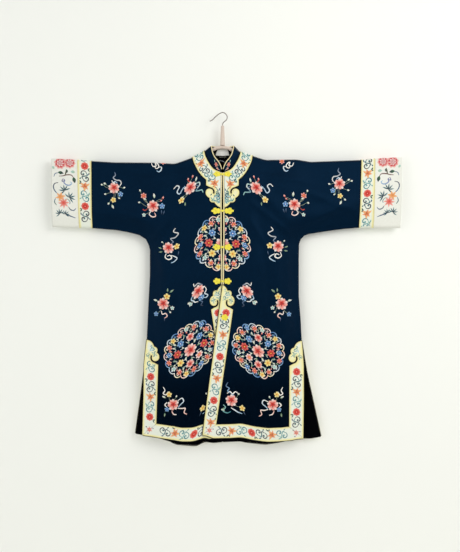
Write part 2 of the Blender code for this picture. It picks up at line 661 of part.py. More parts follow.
def make_frogs(sheets):
    """Five frogs down the opening, each two flowers and a ball button between them.

    The lap hides the other flower of the fifth.
    """
    for number, row in enumerate(FROGS, 1):
        frog = dict(zip(FROG_COLUMNS, row))
        over = GAP + TRIM_WALL if frog["raised"] else 0.0
        for side, sign in SIDES.items():
            x = frog[side + "_x"]
            if x is not None:
                outline = mirrored(flower(abs(x), frog["z"], frog["half_width"], frog["half_height"]), sign)
                name = f"frog_{number}_{side}"
                lay_on(sheets, "front_" + side, name, outline, "yellow_cord", over, FROG_WALL)
        if frog["left_x"] is not None:
            make_knot(sheets, number, frog["z"])


def make_knot(sheets, number, z):
    """The ball button that joins a frog's two flowers, sunk as far between the pipings as there is room."""
    heights, spaces = [], []
    for side, sign in SIDES.items():
        sheet = sheets["front_" + side]
        x = line_at(FRONT_EDGE[side], z)
        i, j = np.array(on_layer(sheet, [(x, z)])).T
        heights.append(sheet.blend(sheet.points, i, j)[0, 1])
        spaces.append(sign * x)
    sunk = KNOT_FLATNESS * math.sqrt(KNOT_RADIUS**2 - min(spaces) ** 2)
    mesh = bmesh.new()
    bmesh.ops.create_uvsphere(mesh, u_segments=10, v_segments=6, radius=KNOT_RADIUS)
    bmesh.ops.scale(mesh, vec=(1.0, KNOT_FLATNESS, 1.0), verts=mesh.verts[:])
    out = min(heights) - WALL - TRIM_WALL - 2 * GAP - sunk
    bmesh.ops.translate(mesh, vec=(0.0, out, z), verts=mesh.verts[:])
    finished(f"knot_{number}", mesh, "yellow_cord")


def ring_points(side, x_top, x_bottom):
    """One ring of a sleeve: up the front from the underarm seam, over the fold and down the back.

    Returns the points of the inside and the unit normals there. x runs from the top's to the bottom's.
    """
    shares = np.array([1.0, 0.93, 0.83, 0.70, 0.55, 0.40, 0.26, 0.14])
    quarter = 0.5 * math.pi * FOLD_RADIUS
    bottom_z = line_at_x(SEAM[side], x_bottom)
    length = down_the_cloth(np.array([x_bottom]), np.array([bottom_z]))[0]
    s = np.concatenate([shares * length, [quarter, quarter * 2 / 3, quarter / 3]])
    x = x_top + (x_bottom - x_top) * s / length
    rings = []
    for face, order in (("front_" + side, 1), ("back_" + side, -1)):
        rings.append(layer_point(x, s, face)[::order])
    crown = layer_point(np.array([x_top]), np.array([0.0]), "front_" + side)
    crown[:, 1] = 0.0
    rings.insert(1, crown)
    ring = np.concatenate(rings)
    ring[0, 1], ring[-1, 1] = -GAP, GAP
    after, before = np.roll(ring, -1, axis=0), np.roll(ring, 1, axis=0)
    slope = after - before
    normal = np.stack([np.zeros(len(ring)), -slope[:, 2], slope[:, 1]], axis=-1)
    normal /= np.linalg.norm(normal, axis=-1, keepdims=True)
    return ring, normal


def make_tube(name, side, start, end, lengths, finish):
    """A tube of cloth between two slanted sleeve seams, as rings inside and outside joined at both ends."""
    mesh = bmesh.new()
    rows = []
    for share in np.linspace(0.0, 1.0, lengths + 1):
        x_top = start[0] + (end[0] - start[0]) * share
        x_bottom = start[1] + (end[1] - start[1]) * share
        ring, normal = ring_points(side, x_top, x_bottom)
        rows.append([[mesh.verts.new(p) for p in layer] for layer in (ring, ring + normal * WALL)])
    for (inner, outer), (next_inner, next_outer) in zip(rows[:-1], rows[1:]):
        bridge(mesh, inner, next_inner)
        bridge(mesh, outer, next_outer)
    bridge(mesh, rows[0][0], rows[0][1])
    bridge(mesh, rows[-1][0], rows[-1][1])
    finished(name, mesh, finish)


def bridge(mesh, ring, other):
    """Faces between two closed rings of vertices."""
    for k in range(len(ring)):
        after = (k + 1) % len(ring)
        mesh.faces.new([ring[k], ring[after], other[after], other[k]])


def make_sleeve_tubes():
    """The ribbon band and the cuff sewn on the end of each sleeve."""
    for side, sign in SIDES.items():
        gap = sign * GAP
        band_start = [x + gap for x in SLEEVE_END[side]]
        cuff_start = [x + gap for x in CUFF_SEAM[side]]
        make_tube("sleeve_band_" + side, side, band_start, CUFF_SEAM[side], 2, "ribbon")
        make_tube("cuff_" + side, side, cuff_start, CUFF_END[side], 4, "cuff_satin")


def neck_line(points):
    """The neck seam through its points, as a smooth line of (x, z) points."""
    return [tuple(p) for p in smooth_path(points, NECK_STEPS)]


def collar_half(sheets, side):
    """The collar's base and top on one side, from the opening over the shoulder to the centre back.

    The base stands just inside the neck edge of the cloth; the top leans out from it.
    """
    sign, base, top = SIDES[side], [], []
    for layer, neck, top_table, out in (("front_", NECK_FRONT, COLLAR_TOP_FRONT, -1.0),
                                        ("back_", NECK_BACK, COLLAR_TOP_BACK, 1.0)):
        x, z = smooth_path(neck, NECK_STEPS).T
        seam = np.stack([x, down_the_cloth(sign * x, z)], axis=-1)
        inward = np.abs(np.gradient(seam, axis=0))[:, ::-1] + CROWN_TURN
        inward /= np.linalg.norm(inward, axis=-1, keepdims=True)
        x, s = (seam - COLLAR_CLEARANCE * inward).T
        x = np.maximum(x, COLLAR_FRONT_X) if layer == "front_" else np.append(x[:-1], 0.0)
        sheet = sheets[layer + side]
        place = sheet.blend(sheet.points, *sheet.at(sign * x, np.maximum(s, 0.0)))
        top_x, top_z, lean = smooth_path(top_table, NECK_STEPS).T
        base.append(place)
        top.append(np.stack([sign * top_x, place[:, 1] + out * lean, top_z], axis=-1))
    for line in (base, top):
        line[0][-1, 1] = 0.0
        line[1] = line[1][1:]
    return np.concatenate(base), np.concatenate(top)


def collar_sheet(sheets):
    """The collar as a surface between its base and its top, from the left end of the opening to the right."""
    halves = zip(collar_half(sheets, "left"), collar_half(sheets, "right"))
    base, top = [np.concatenate([left, right[::-1][1:]]) for left, right in halves]
    points = np.stack([base, 0.5 * (base + top), top], axis=1)
    normals = np.cross(np.gradient(points, axis=1), np.gradient(points, axis=0))
    normals /= np.linalg.norm(normals, axis=-1, keepdims=True)
    return Sheet(points, normals)


def make_collar(sheets):
    """The stand collar, the piping round its free edge and the blank label inside its back."""
    sheet = collar_sheet(sheets)
    last = sheet.points.shape[0] - 1
    outline = [(0.0, 0.0), (last, 0.0), (last, 2.0), (0.0, 2.0)]
    sheet.lay("collar", outline, -COLLAR_INSIDE, WALL + COLLAR_INSIDE, "navy_satin")
    left, right = 0.5 * last - LABEL_HALF, 0.5 * last + LABEL_HALF
    low, high = LABEL_HEIGHTS
    label = [(left, low), (right, low), (right, high), (left, high)]
    inside = -COLLAR_INSIDE - GAP
    sheet.lay("label", label, inside - LABEL_WALL, inside, "label")
    edge = sheet.points[:, 2] + sheet.normals[:, 2] * 0.5 * WALL
    step = np.diff(edge, axis=0)
    step /= np.linalg.norm(step, axis=-1, keepdims=True)
    tangent = 0.5 * (np.vstack([step[:1], step]) + np.vstack([step, step[-1:]]))
    bend = np.linalg.norm(tangent, axis=-1, keepdims=True)
    away = np.cross(tangent / bend, sheet.normals[:, 2])
    path = list(edge + away * (COLLAR_PIPING_RADIUS + 2 * GAP) / bend**3)
    kept = path[:1]
    for point in path[1:-1]:
        if np.linalg.norm(point - kept[-1]) > 2.0 * COLLAR_PIPING_RADIUS:
            kept.append(point)
    make_wire("collar_piping", kept + path[-1:], COLLAR_PIPING_RADIUS, 1, "cream_piping")


def make_wire(name, path, radius, resolution, finish):
    """A round wire or cord along a list of points, as a curve with a bevel and filled ends."""
    curve = bpy.data.curves.new(name, "CURVE")
    curve.dimensions = "3D"
    curve.bevel_depth = radius
    curve.bevel_resolution = resolution
    curve.use_fill_caps = True
    spline = curve.splines.new("POLY")
    spline.points.add(len(path) - 1)
    for point, place in zip(spline.points, path):
        point.co = (*place, 1.0)
    made = bpy.data.objects.new(name, curve)
    ROBE.objects.link(made)
    made.data.materials.append(material(finish))
    return made


def smooth_path(points, steps):
    """A Catmull-Rom curve through the points, with this many steps between each two."""
    points = np.array(points, float)
    padded = np.vstack([2 * points[0] - points[1], points, 2 * points[-1] - points[-2]])
    out = []
    for a, b, c, d in zip(padded[:-3], padded[1:-2], padded[2:-1], padded[3:]):
        for t in np.arange(steps) / steps:
            out.append(0.5 * (2 * b + (c - a) * t + (2 * a - 5 * b + 4 * c - d) * t * t
                              + (3 * b - a - 3 * c + d) * t**3))
    return np.array(out + [points[-1]])


def make_hanger():
    """The hanger: two sloping arms in one padded rod, a wrapped stem and a wire hook round the origin.

    From the neck out the rod runs a gap below the crown of the shoulder fold, so the cloth sits on it.
    """
    reach = [x for x in COLUMNS if COLUMNS[3] <= x < ARM_REACH] + [ARM_REACH]
    arms = [(0.0, 0.0, ARM_MIDDLE_Z)]
    for sign in SIDES.values():
        x = np.array(reach)
        crown = np.interp(x, COLUMNS, shoulder_z(sign * np.array(COLUMNS)))
        steep = np.hypot(1.0, np.gradient(crown, x))
        axis = crown - 1.5 * GAP - ARM_RADIUS * steep
        axis[0] -= ARM_NECK_DIP
        dip = axis[0] - ARM_MIDDLE_Z
        near = [(sign * COLUMNS[k], 0.0, ARM_MIDDLE_Z + share * dip)
                for k, share in enumerate(ARM_DIP_SHARES, 1)]
        arm = near + [(sign * px, 0.0, pz) for px, pz in zip(x, axis)]
        arms = arms + arm if sign > 0 else arm[::-1] + arms
    make_wire("hanger_arms", arms, ARM_RADIUS, 2, "hanger_pad")
    stem_bottom = ARM_MIDDLE_Z + ARM_RADIUS + GAP
    mesh = bmesh.new()
    bmesh.ops.create_cone(mesh, cap_ends=True, segments=14, radius1=STEM_RADII[0], radius2=STEM_RADII[1],
                          depth=STEM_TOP_Z - stem_bottom)
    bmesh.ops.translate(mesh, vec=(0.0, 0.0, 0.5 * (STEM_TOP_Z + stem_bottom)), verts=mesh.verts[:])
    finished("hanger_stem", mesh, "hanger_pad")
    start = (0.0, 0.0, STEM_TOP_Z + 1.5 * GAP)
    hook = [(x, 0.0, z) for x, z in HOOK]
    make_wire("hanger_hook", [start, *smooth_path(hook, 2)], HOOK_WIRE, 1, "hook_wire")


LAYERS = {f"{layer}_{side}": layer_sheet(f"{layer}_{side}") for layer in ("front", "back") for side in SIDES}
make_panels(LAYERS)
make_neck_borders(LAYERS)
make_pipings(LAYERS)
make_skirt_borders(LAYERS)
make_frogs(LAYERS)
make_sleeve_tubes()
make_collar(LAYERS)
make_hanger()
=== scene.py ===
import math

import bmesh
import bpy
import numpy as np
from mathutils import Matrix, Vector
from mathutils.geometry import delaunay_2d_cdt


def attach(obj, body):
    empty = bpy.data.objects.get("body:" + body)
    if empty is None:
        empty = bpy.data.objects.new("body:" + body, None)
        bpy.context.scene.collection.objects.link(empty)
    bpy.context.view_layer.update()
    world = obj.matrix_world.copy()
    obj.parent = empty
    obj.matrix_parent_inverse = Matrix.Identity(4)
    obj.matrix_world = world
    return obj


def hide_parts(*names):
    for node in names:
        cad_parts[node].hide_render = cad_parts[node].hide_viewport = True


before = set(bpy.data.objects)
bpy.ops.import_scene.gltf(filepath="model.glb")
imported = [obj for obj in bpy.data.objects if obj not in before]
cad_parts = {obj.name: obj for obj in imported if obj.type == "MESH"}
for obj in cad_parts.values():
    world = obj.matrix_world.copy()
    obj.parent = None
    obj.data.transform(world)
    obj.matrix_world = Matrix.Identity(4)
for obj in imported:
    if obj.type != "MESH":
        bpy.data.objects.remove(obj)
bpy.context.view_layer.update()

# The satin of the robe
# Two halves, each a front and a half back cut in one over the shoulder with half a sleeve. Navy silk satin
# with a plain dark lining, sewn under the arm and down the side to the slits, and open at the centre front.
CLOTH_WALL = 0.0014
TRIM_WALL = 0.0012
GAP = 0.0003
FOLD_RADIUS = 0.0080
BODY_DEPTH = 0.0210
SLEEVE_DEPTH = 0.0120
BACK_SHARE = 0.62
SEAM_RAMP = 0.085
TOP_RAMP = 0.110
SLEEVE_STARTS = 0.22
SLEEVE_FULL = 0.38
FREE_EDGE_SHARE = 0.55
SOFTEN = 0.008
LAP_LIFT = 0.0044
LAP_TOP_Z = -0.480
LAP_FULL_Z = -0.590
LAP_INNER_X = 0.090
LAP_OUTER_X = 0.200
SATIN_GRID = 0.0052
SIDES = {"left": -1, "right": 1}

TOP_LINE = [(-0.660, -0.1700), (-0.536, -0.1762), (-0.491, -0.1799), (-0.408, -0.1852), (-0.264, -0.1863),
            (-0.178, -0.1904), (-0.113, -0.1672), (-0.067, -0.1409), (0.068, -0.1458), (0.114, -0.1614),
            (0.161, -0.1762), (0.276, -0.1743), (0.330, -0.1833), (0.520, -0.1762), (0.569, -0.1714),
            (0.690, -0.1650)]

SEAM = {
    "left": [(-0.700, -0.425), (-0.640, -0.4275), (-0.487, -0.432), (-0.399, -0.439), (-0.351, -0.448),
             (-0.312, -0.458), (-0.288, -0.473), (-0.277, -0.494), (-0.272, -0.513), (-0.272, -0.610),
             (-0.277, -0.701), (-0.284, -0.851)],
    "right": [(0.720, -0.431), (0.666, -0.4313), (0.510, -0.4303), (0.456, -0.4346), (0.386, -0.444),
              (0.325, -0.453), (0.307, -0.460), (0.293, -0.474), (0.287, -0.493), (0.286, -0.549),
              (0.286, -0.686), (0.293, -0.776), (0.297, -0.855)],
}
FRONT_SLIT = {
    "left": [(-0.284, -0.851), (-0.2925, -0.945), (-0.294, -1.058), (-0.2985, -1.2055)],
    "right": [(0.297, -0.855), (0.3025, -0.945), (0.303, -1.058), (0.301, -1.218)],
}
BACK_SLIT = {
    "left": [(-0.284, -0.851), (-0.2955, -0.971), (-0.311, -1.091), (-0.3265, -1.202)],
    "right": [(0.297, -0.855), (0.316, -0.971), (0.342, -1.091), (0.369, -1.213)],
}
FRONT_HEM = {
    "left": [(-0.2985, -1.2055), (-0.247, -1.211), (-0.179, -1.2195), (-0.150, -1.2245), (-0.100, -1.2220),
             (-0.050, -1.2160), (0.073, -1.2040)],
    "right": [(-0.074, -1.2030), (-0.034, -1.2130), (0.027, -1.2120), (0.071, -1.2110), (0.109, -1.2185),
              (0.159, -1.2245), (0.209, -1.2245), (0.259, -1.2220), (0.301, -1.218)],
}
BACK_HEM = {
    "left": [(-0.3265, -1.202), (-0.247, -1.218), (-0.198, -1.233), (-0.172, -1.2445), (-0.122, -1.2495),
             (-0.097, -1.2495), (-0.034, -1.238), (0.0, -1.2345)],
    "right": [(0.0, -1.2345), (0.083, -1.236), (0.154, -1.2445), (0.209, -1.238), (0.259, -1.227),
              (0.301, -1.2205), (0.369, -1.213)],
}
FRONT_EDGE = {
    "left": [(-0.0010, -0.2250), (-0.0030, -0.3260), (-0.0030, -0.4760), (-0.0010, -0.5590),
             (-0.0008, -0.6450), (0.0085, -0.7350), (0.0730, -1.2040)],
    "right": [(0.0010, -0.2250), (0.0030, -0.3260), (0.0032, -0.4760), (0.0010, -0.5590),
              (0.0008, -0.6450), (-0.0110, -0.7350), (-0.0740, -1.2030)],
}
NECK_FRONT = [(0.0000, -0.2250), (0.0105, -0.2224), (0.0285, -0.2145), (0.0416, -0.2014), (0.0548, -0.1800),
              (0.0625, -0.1630), (0.0650, -0.1545), (0.0660, -0.1500), (0.0667, -0.1465), (0.0672, -0.1400)]
NECK_BACK = [(0.0672, -0.1400), (0.0666, -0.1470), (0.0656, -0.1505), (0.0620, -0.1550), (0.0350, -0.1620),
             (0.0000, -0.1650)]
SLEEVE_END = {"left": (-0.4905, -0.4870), "right": (0.5200, 0.5110)}

# Each fold: where it starts and ends, how far it stands out and its half width
FOLD_COLUMNS = ("x0", "z0", "x1", "z1", "height", "width")
FRONT_FOLDS = [
    (0.105, -0.300, 0.128, -0.760, 0.0060, 0.026),
    (0.175, -0.400, 0.222, -0.800, 0.0065, 0.030),
    (0.120, -0.270, 0.262, -0.420, 0.0050, 0.028),
    (0.052, -0.560, 0.060, -0.760, 0.0045, 0.022),
    (0.170, -0.980, 0.185, -1.225, 0.0085, 0.040),
    (0.080, -1.000, 0.090, -1.225, -0.0050, 0.030),
    (0.300, -0.405, 0.500, -0.330, 0.0045, 0.026),
    (0.180, -0.235, 0.330, -0.225, 0.0035, 0.022),
    (-0.150, -0.960, -0.140, -1.225, 0.0080, 0.045),
    (-0.135, -0.560, -0.128, -0.780, 0.0040, 0.030),
    (-0.230, -0.480, -0.215, -0.700, 0.0035, 0.028),
    (-0.480, -0.370, -0.300, -0.400, 0.0045, 0.026),
    (-0.120, -0.215, -0.260, -0.225, 0.0035, 0.022),
]
BACK_FOLDS = [
    (-0.110, -0.900, -0.112, -1.250, 0.0080, 0.045),
    (0.155, -0.900, 0.160, -1.250, 0.0080, 0.045),
    (0.020, -1.000, 0.022, -1.240, -0.0040, 0.040),
    (0.090, -0.300, 0.105, -0.760, 0.0040, 0.032),
    (-0.090, -0.300, -0.105, -0.760, 0.0040, 0.032),
    (0.140, -0.280, 0.262, -0.430, 0.0040, 0.028),
    (-0.140, -0.280, -0.250, -0.430, 0.0040, 0.028),
    (0.310, -0.400, 0.490, -0.340, 0.0035, 0.026),
    (-0.310, -0.400, -0.470, -0.345, 0.0035, 0.026),
]
# Finer creases of the hanging satin, in the same columns
FRONT_CREASES = [
    (-0.105, -0.205, -0.330, -0.212, 0.0022, 0.009),
    (-0.110, -0.222, -0.300, -0.252, 0.0018, 0.011),
    (-0.215, -0.245, -0.440, -0.236, 0.0016, 0.012),
    (-0.240, -0.300, -0.450, -0.330, 0.0014, 0.014),
    (-0.262, -0.420, -0.420, -0.345, 0.0026, 0.014),
    (-0.250, -0.465, -0.180, -0.380, 0.0022, 0.013),
    (-0.255, -0.500, -0.215, -0.600, 0.0020, 0.012),
    (-0.200, -0.560, -0.190, -0.900, 0.0022, 0.014),
    (-0.090, -0.560, -0.082, -0.720, 0.0018, 0.012),
    (-0.060, -0.920, -0.052, -1.060, -0.0022, 0.014),
    (-0.245, -0.900, -0.236, -1.190, 0.0024, 0.013),
    (0.105, -0.208, 0.300, -0.214, 0.0022, 0.009),
    (0.118, -0.228, 0.330, -0.262, 0.0020, 0.012),
    (0.240, -0.245, 0.470, -0.236, 0.0015, 0.012),
    (0.320, -0.300, 0.500, -0.372, 0.0022, 0.013),
    (0.290, -0.430, 0.430, -0.360, 0.0024, 0.012),
    (0.100, -0.330, 0.258, -0.458, 0.0030, 0.012),
    (0.090, -0.380, 0.175, -0.520, 0.0022, 0.011),
    (0.075, -0.400, 0.095, -0.700, 0.0026, 0.012),
    (0.135, -0.470, 0.160, -0.760, 0.0028, 0.013),
    (0.240, -0.480, 0.252, -0.800, 0.0022, 0.015),
    (0.120, -1.000, 0.128, -1.165, 0.0026, 0.011),
    (0.205, -1.010, 0.222, -1.180, 0.0028, 0.012),
    (0.030, -0.960, 0.050, -1.150, 0.0022, 0.013),
]
BACK_CREASES = [
    (-0.120, -0.212, -0.330, -0.222, 0.0020, 0.010),
    (0.120, -0.208, 0.330, -0.226, 0.0020, 0.010),
    (-0.262, -0.430, -0.400, -0.350, 0.0022, 0.013),
    (0.276, -0.430, 0.420, -0.355, 0.0022, 0.013),
    (-0.245, -0.470, -0.150, -0.370, 0.0020, 0.013),
    (0.250, -0.470, 0.160, -0.360, 0.0020, 0.013),
    (-0.040, -0.300, -0.048, -0.640, 0.0020, 0.014),
    (0.050, -0.330, 0.054, -0.720, 0.0018, 0.014),
    (-0.190, -0.600, -0.196, -1.000, 0.0024, 0.015),
    (0.210, -0.560, 0.224, -0.980, 0.0024, 0.015),
    (-0.055, -0.860, -0.050, -1.180, 0.0024, 0.013),
    (0.090, -0.920, 0.104, -1.190, 0.0022, 0.013),
    (-0.250, -0.980, -0.266, -1.190, 0.0020, 0.012),
    (0.262, -0.980, 0.296, -1.190, 0.0020, 0.012),
]


def ramp(share):
    """Rises from 0 at 0 to 1 at 1 and stays there, steep at first: the sine of a quarter
    turn times the share."""
    return np.sin(0.5 * math.pi * np.clip(share, 0.0, 1.0))


def ease(share):
    """Goes from 0 at 0 to 1 at 1, flat at both ends: three times the square less twice the cube."""
    t = np.clip(share, 0.0, 1.0)
    return t * t * (3.0 - 2.0 * t)


def distance_to_line(x, z, line):
    """The distance from each point to the nearest of a line's straight runs."""
    nearest = np.full(np.shape(x), np.inf)
    for (ax, az), (bx, bz) in zip(line[:-1], line[1:]):
        ux, uz = bx - ax, bz - az
        along = np.clip(((x - ax) * ux + (z - az) * uz) / (ux * ux + uz * uz), 0.0, 1.0)
        nearest = np.minimum(nearest, np.hypot(x - ax - along * ux, z - az - along * uz))
    return nearest


def shoulder_z(x):
    """The inside of the shoulder fold above each x: the top line averaged over 16 mm, less the cloth."""
    line_x, line_z = zip(*TOP_LINE)
    spread = (-SOFTEN, -SOFTEN / 2, 0.0, SOFTEN / 2, SOFTEN)
    return sum(np.interp(x + step, line_x, line_z) for step in spread) / len(spread) - CLOTH_WALL


def fold_height(x, z, table):
    """How far the folds move the cloth out: a bell curve across each fold, faded in and out along it."""
    out = np.zeros(np.shape(x))
    for row in table:
        fold = dict(zip(FOLD_COLUMNS, row))
        ux, uz = fold["x1"] - fold["x0"], fold["z1"] - fold["z0"]
        length = math.hypot(ux, uz)
        along = ((x - fold["x0"]) * ux + (z - fold["z0"]) * uz) / length**2
        across = ((x - fold["x0"]) * uz - (z - fold["z0"]) * ux) / length
        fade = ease((along + 0.15) / 0.45) * ease((1.15 - along) / 0.30)
        out += fold["height"] * fade * np.exp(-((across / fold["width"]) ** 2))
    return out


def layer_point(x, s, face):
    """A point on the inner side of front_left, front_right, back_left or back_right.

    s is measured down the cloth from the crown of the shoulder: a quarter circle, then straight down. The
    depth is the fold's radius, grown to the full depth below it with the folds, and closed at the seams.
    """
    side, front = face.split("_")[1], face.startswith("front")
    quarter = 0.5 * math.pi * FOLD_RADIUS
    turn = np.clip(s / FOLD_RADIUS, 0.0, 0.5 * math.pi)
    z = shoulder_z(x) - FOLD_RADIUS * (1.0 - np.cos(turn)) - np.maximum(s - quarter, 0.0)
    share = ease((np.abs(x) - SLEEVE_STARTS) / (SLEEVE_FULL - SLEEVE_STARTS))
    full = (BODY_DEPTH + (SLEEVE_DEPTH - BODY_DEPTH) * share) * (1.0 if front else BACK_SHARE)
    seam = np.minimum(*(distance_to_line(x, z, SEAM[name]) for name in SIDES))
    free = ramp(distance_to_line(x, z, (FRONT_SLIT if front else BACK_SLIT)[side]) / SEAM_RAMP)
    close = ramp(seam / SEAM_RAMP) * (FREE_EDGE_SHARE + (1.0 - FREE_EDGE_SHARE) * free)
    below = ease((s - quarter) / TOP_RAMP)
    folds = fold_height(x, z, FRONT_FOLDS + FRONT_CREASES if front else BACK_FOLDS + BACK_CREASES)
    fold_part = np.minimum(FOLD_RADIUS, full) * np.sin(turn)
    depth = close * (fold_part + np.maximum(full - FOLD_RADIUS, 0.0) * below + folds * below)
    if front and side == "right":
        lap = ease((z - LAP_TOP_Z) / (LAP_FULL_Z - LAP_TOP_Z))
        depth = depth + LAP_LIFT * lap * ease((LAP_OUTER_X - x) / (LAP_OUTER_X - LAP_INNER_X))
    apart = 0.5 * GAP * ramp(s / 0.02)
    return np.stack([x, (-1.0 if front else 1.0) * (apart + depth), z], axis=-1)


def over_shoulder(face, x, s):
    """As layer_point, but a negative s is on the other layer, past the crown of the shoulder."""
    layer, side = face.split("_")
    other = ("back_" if layer == "front" else "front_") + side
    return np.where((s < 0.0)[..., None], layer_point(x, -s, other), layer_point(x, s, face))


def on_cloth(face, x, s, height):
    """Points a height above the inner side of the cloth, and the normals there, from the surface's slopes."""
    x, s = np.broadcast_arrays(np.asarray(x, float), np.asarray(s, float))
    step = 0.0008
    along = over_shoulder(face, x + step, s) - over_shoulder(face, x - step, s)
    down = over_shoulder(face, x, s + step) - over_shoulder(face, x, s - step)
    normal = np.cross(along, down) * (-1.0 if face.startswith("front") else 1.0)
    normal /= np.linalg.norm(normal, axis=-1, keepdims=True)
    return over_shoulder(face, x, s) + normal * np.asarray(height)[..., None], normal


def down_the_cloth(x, z):
    """The s of layer_point at a place in the front view. Above the crown it is 0."""
    drop = np.maximum(shoulder_z(x) - z, 0.0)
    inside = FOLD_RADIUS * np.arccos(1.0 - np.minimum(drop, FOLD_RADIUS) / FOLD_RADIUS)
    return inside + np.maximum(drop - FOLD_RADIUS, 0.0)


def flat_outline(outline):
    """An outline of (x, z) places in the front view as rows of (x, s) on the flat cloth."""
    x, z = np.array(outline, float).T
    return np.stack([x, down_the_cloth(x, z)], axis=-1)


def resampled(line, spacing, closed=False):
    """A line's points with more between them, so that no run is longer than the spacing."""
    line = np.vstack([line, line[:1]]) if closed else np.asarray(line, float)
    runs = np.linalg.norm(np.diff(line, axis=0), axis=1)
    out = []
    for a, b, run in zip(line[:-1], line[1:], runs):
        steps = max(1, math.ceil(run / spacing))
        out.append(a + (b - a) * (np.arange(steps) / steps)[:, None])
    return np.vstack(out if closed else out + [line[-1:]])


def inside(points, outline):
    """True for each point within a closed outline, by counting the edges that a line to its right crosses."""
    x, y = points[:, 0:1], points[:, 1:2]
    x0, y0 = outline.T
    x1, y1 = np.roll(outline, -1, axis=0).T
    crosses = (y0 <= y) != (y1 <= y)
    slope = (x1 - x0) / np.where(y1 == y0, 1.0, y1 - y0)
    return (np.sum(crosses & (x < x0 + (y - y0) * slope), axis=1) % 2).astype(bool)


def cut_flat(outline, spacing):
    """A flat outline filled with triangles: its own points and a square grid inside it,
    joined by Delaunay."""
    loop = resampled(outline, spacing, closed=True)
    low, high = loop.min(axis=0), loop.max(axis=0)
    across, down = (np.arange(low[k] + 0.5 * spacing, high[k], spacing) for k in (0, 1))
    grid = np.stack(np.meshgrid(across, down, indexing="ij"), axis=-1).reshape(-1, 2)
    grid = grid[inside(grid, loop)]
    ring = np.vstack([loop, loop[:1]])
    grid = grid[distance_to_line(grid[:, 0], grid[:, 1], ring) > 0.55 * spacing]
    if np.dot(loop[:, 0], np.roll(loop[:, 1], -1)) < np.dot(loop[:, 1], np.roll(loop[:, 0], -1)):
        loop = loop[::-1]
    points = np.vstack([loop, grid])
    flat, _, faces, _, _, owners = delaunay_2d_cdt([Vector(p) for p in points], [],
                                                   [list(range(len(loop)))], 1, 1e-7)
    faces = np.array([face for face, owner in zip(faces, owners) if owner])
    flat = np.array([p[:] for p in flat])
    used, faces = np.unique(faces, return_inverse=True)
    return flat[used], faces.reshape(-1, 3)


def flat_area(outline):
    """The area of a flat outline in square metres, by the shoelace rule."""
    x, y = np.asarray(outline).T
    return 0.5 * abs(float(np.dot(x, np.roll(y, -1)) - np.dot(y, np.roll(x, -1))))


def turned_out(points, faces, normals):
    """The faces with each turned so that it faces the way its first point's normal does."""
    a, b, c = points[faces[:, 0]], points[faces[:, 1]], points[faces[:, 2]]
    wrong = np.einsum("ij,ij->i", np.cross(b - a, c - a), normals[faces[:, 0]]) < 0.0
    faces = faces.copy()
    faces[wrong] = faces[wrong][:, ::-1]
    return faces


def new_piece(name, points, faces, finishes, uv=None, marks=None):
    """A smooth mesh from whole arrays, at the origin, with its UV map and its values at each point."""
    mesh = bpy.data.meshes.new(name)
    mesh.vertices.add(len(points))
    mesh.vertices.foreach_set("co", np.asarray(points, np.float32).ravel())
    corners = faces.shape[1]
    mesh.loops.add(faces.size)
    mesh.loops.foreach_set("vertex_index", faces.ravel().astype(np.int32))
    mesh.polygons.add(len(faces))
    mesh.polygons.foreach_set("loop_start", np.arange(len(faces), dtype=np.int32) * corners)
    mesh.polygons.foreach_set("use_smooth", np.ones(len(faces), bool))
    mesh.update(calc_edges=True)
    if uv is not None:
        layer = mesh.uv_layers.new(name="cloth")
        layer.data.foreach_set("uv", np.asarray(uv, np.float32)[faces.ravel()].ravel())
    for mark, values in (marks or {}).items():
        kind = "FLOAT" if values.ndim == 1 else "FLOAT_COLOR"
        made = mesh.attributes.new(mark, kind, "POINT")
        field = "value" if values.ndim == 1 else "color"
        made.data.foreach_set(field, np.asarray(values, np.float32).ravel())
    mesh.validate()
    for finish in finishes:
        mesh.materials.append(finish)
    piece = bpy.data.objects.new(name, mesh)
    bpy.context.scene.collection.objects.link(piece)
    return piece


def with_wall(piece, wall, inner=0):
    """Gives a piece its thickness, inwards from its outer face, with another finish on the inner face."""
    solid = piece.modifiers.new("wall", "SOLIDIFY")
    solid.thickness = wall
    solid.offset = -1.0
    solid.material_offset = inner
    return piece


def neck_side(points, sign):
    """The neck seam's points on one side, as a smooth line."""
    return [(sign * x, z) for x, z in smooth_path(points, 3)]


def smooth_path(points, steps):
    """A Catmull-Rom curve through the points, with this many steps between each two."""
    points = np.array(points, float)
    padded = np.vstack([2 * points[0] - points[1], points, 2 * points[-1] - points[-2]])
    t = (np.arange(steps) / steps)[None, :, None]
    a, b, c, d = (padded[k:len(padded) - 3 + k, None, :] for k in range(4))
    out = 0.5 * (2 * b + (c - a) * t + (2 * a - 5 * b + 4 * c - d) * t * t + (3 * b - a - 3 * c + d) * t**3)
    return np.vstack([out.reshape(-1, points.shape[1]), points[-1:]])


def line_at_x(line, x):
    """The z of a line of (x, z) points at an x."""
    rows = sorted(line)
    return float(np.interp(x, [row[0] for row in rows], [row[1] for row in rows]))


def panel_outline(side, front):
    """The cut of a front or of a half back with its half sleeve, in the front view."""
    sign = SIDES[side]
    top, bottom = SLEEVE_END[side]
    seam = [p for p in SEAM[side] if abs(p[0]) < abs(bottom) - 0.004]
    slit = (FRONT_SLIT if front else BACK_SLIT)[side]
    hem = (FRONT_HEM if front else BACK_HEM)[side]
    hem = hem if side == "left" else hem[::-1]
    if front:
        inner = FRONT_EDGE[side][::-1][1:] + neck_side(NECK_FRONT, sign)[1:]
    else:
        inner = neck_side(NECK_BACK, sign)[::-1]
    return [(top, 0.0), (bottom, line_at_x(SEAM[side], bottom))] + seam + slit[1:] + hem[1:] + inner


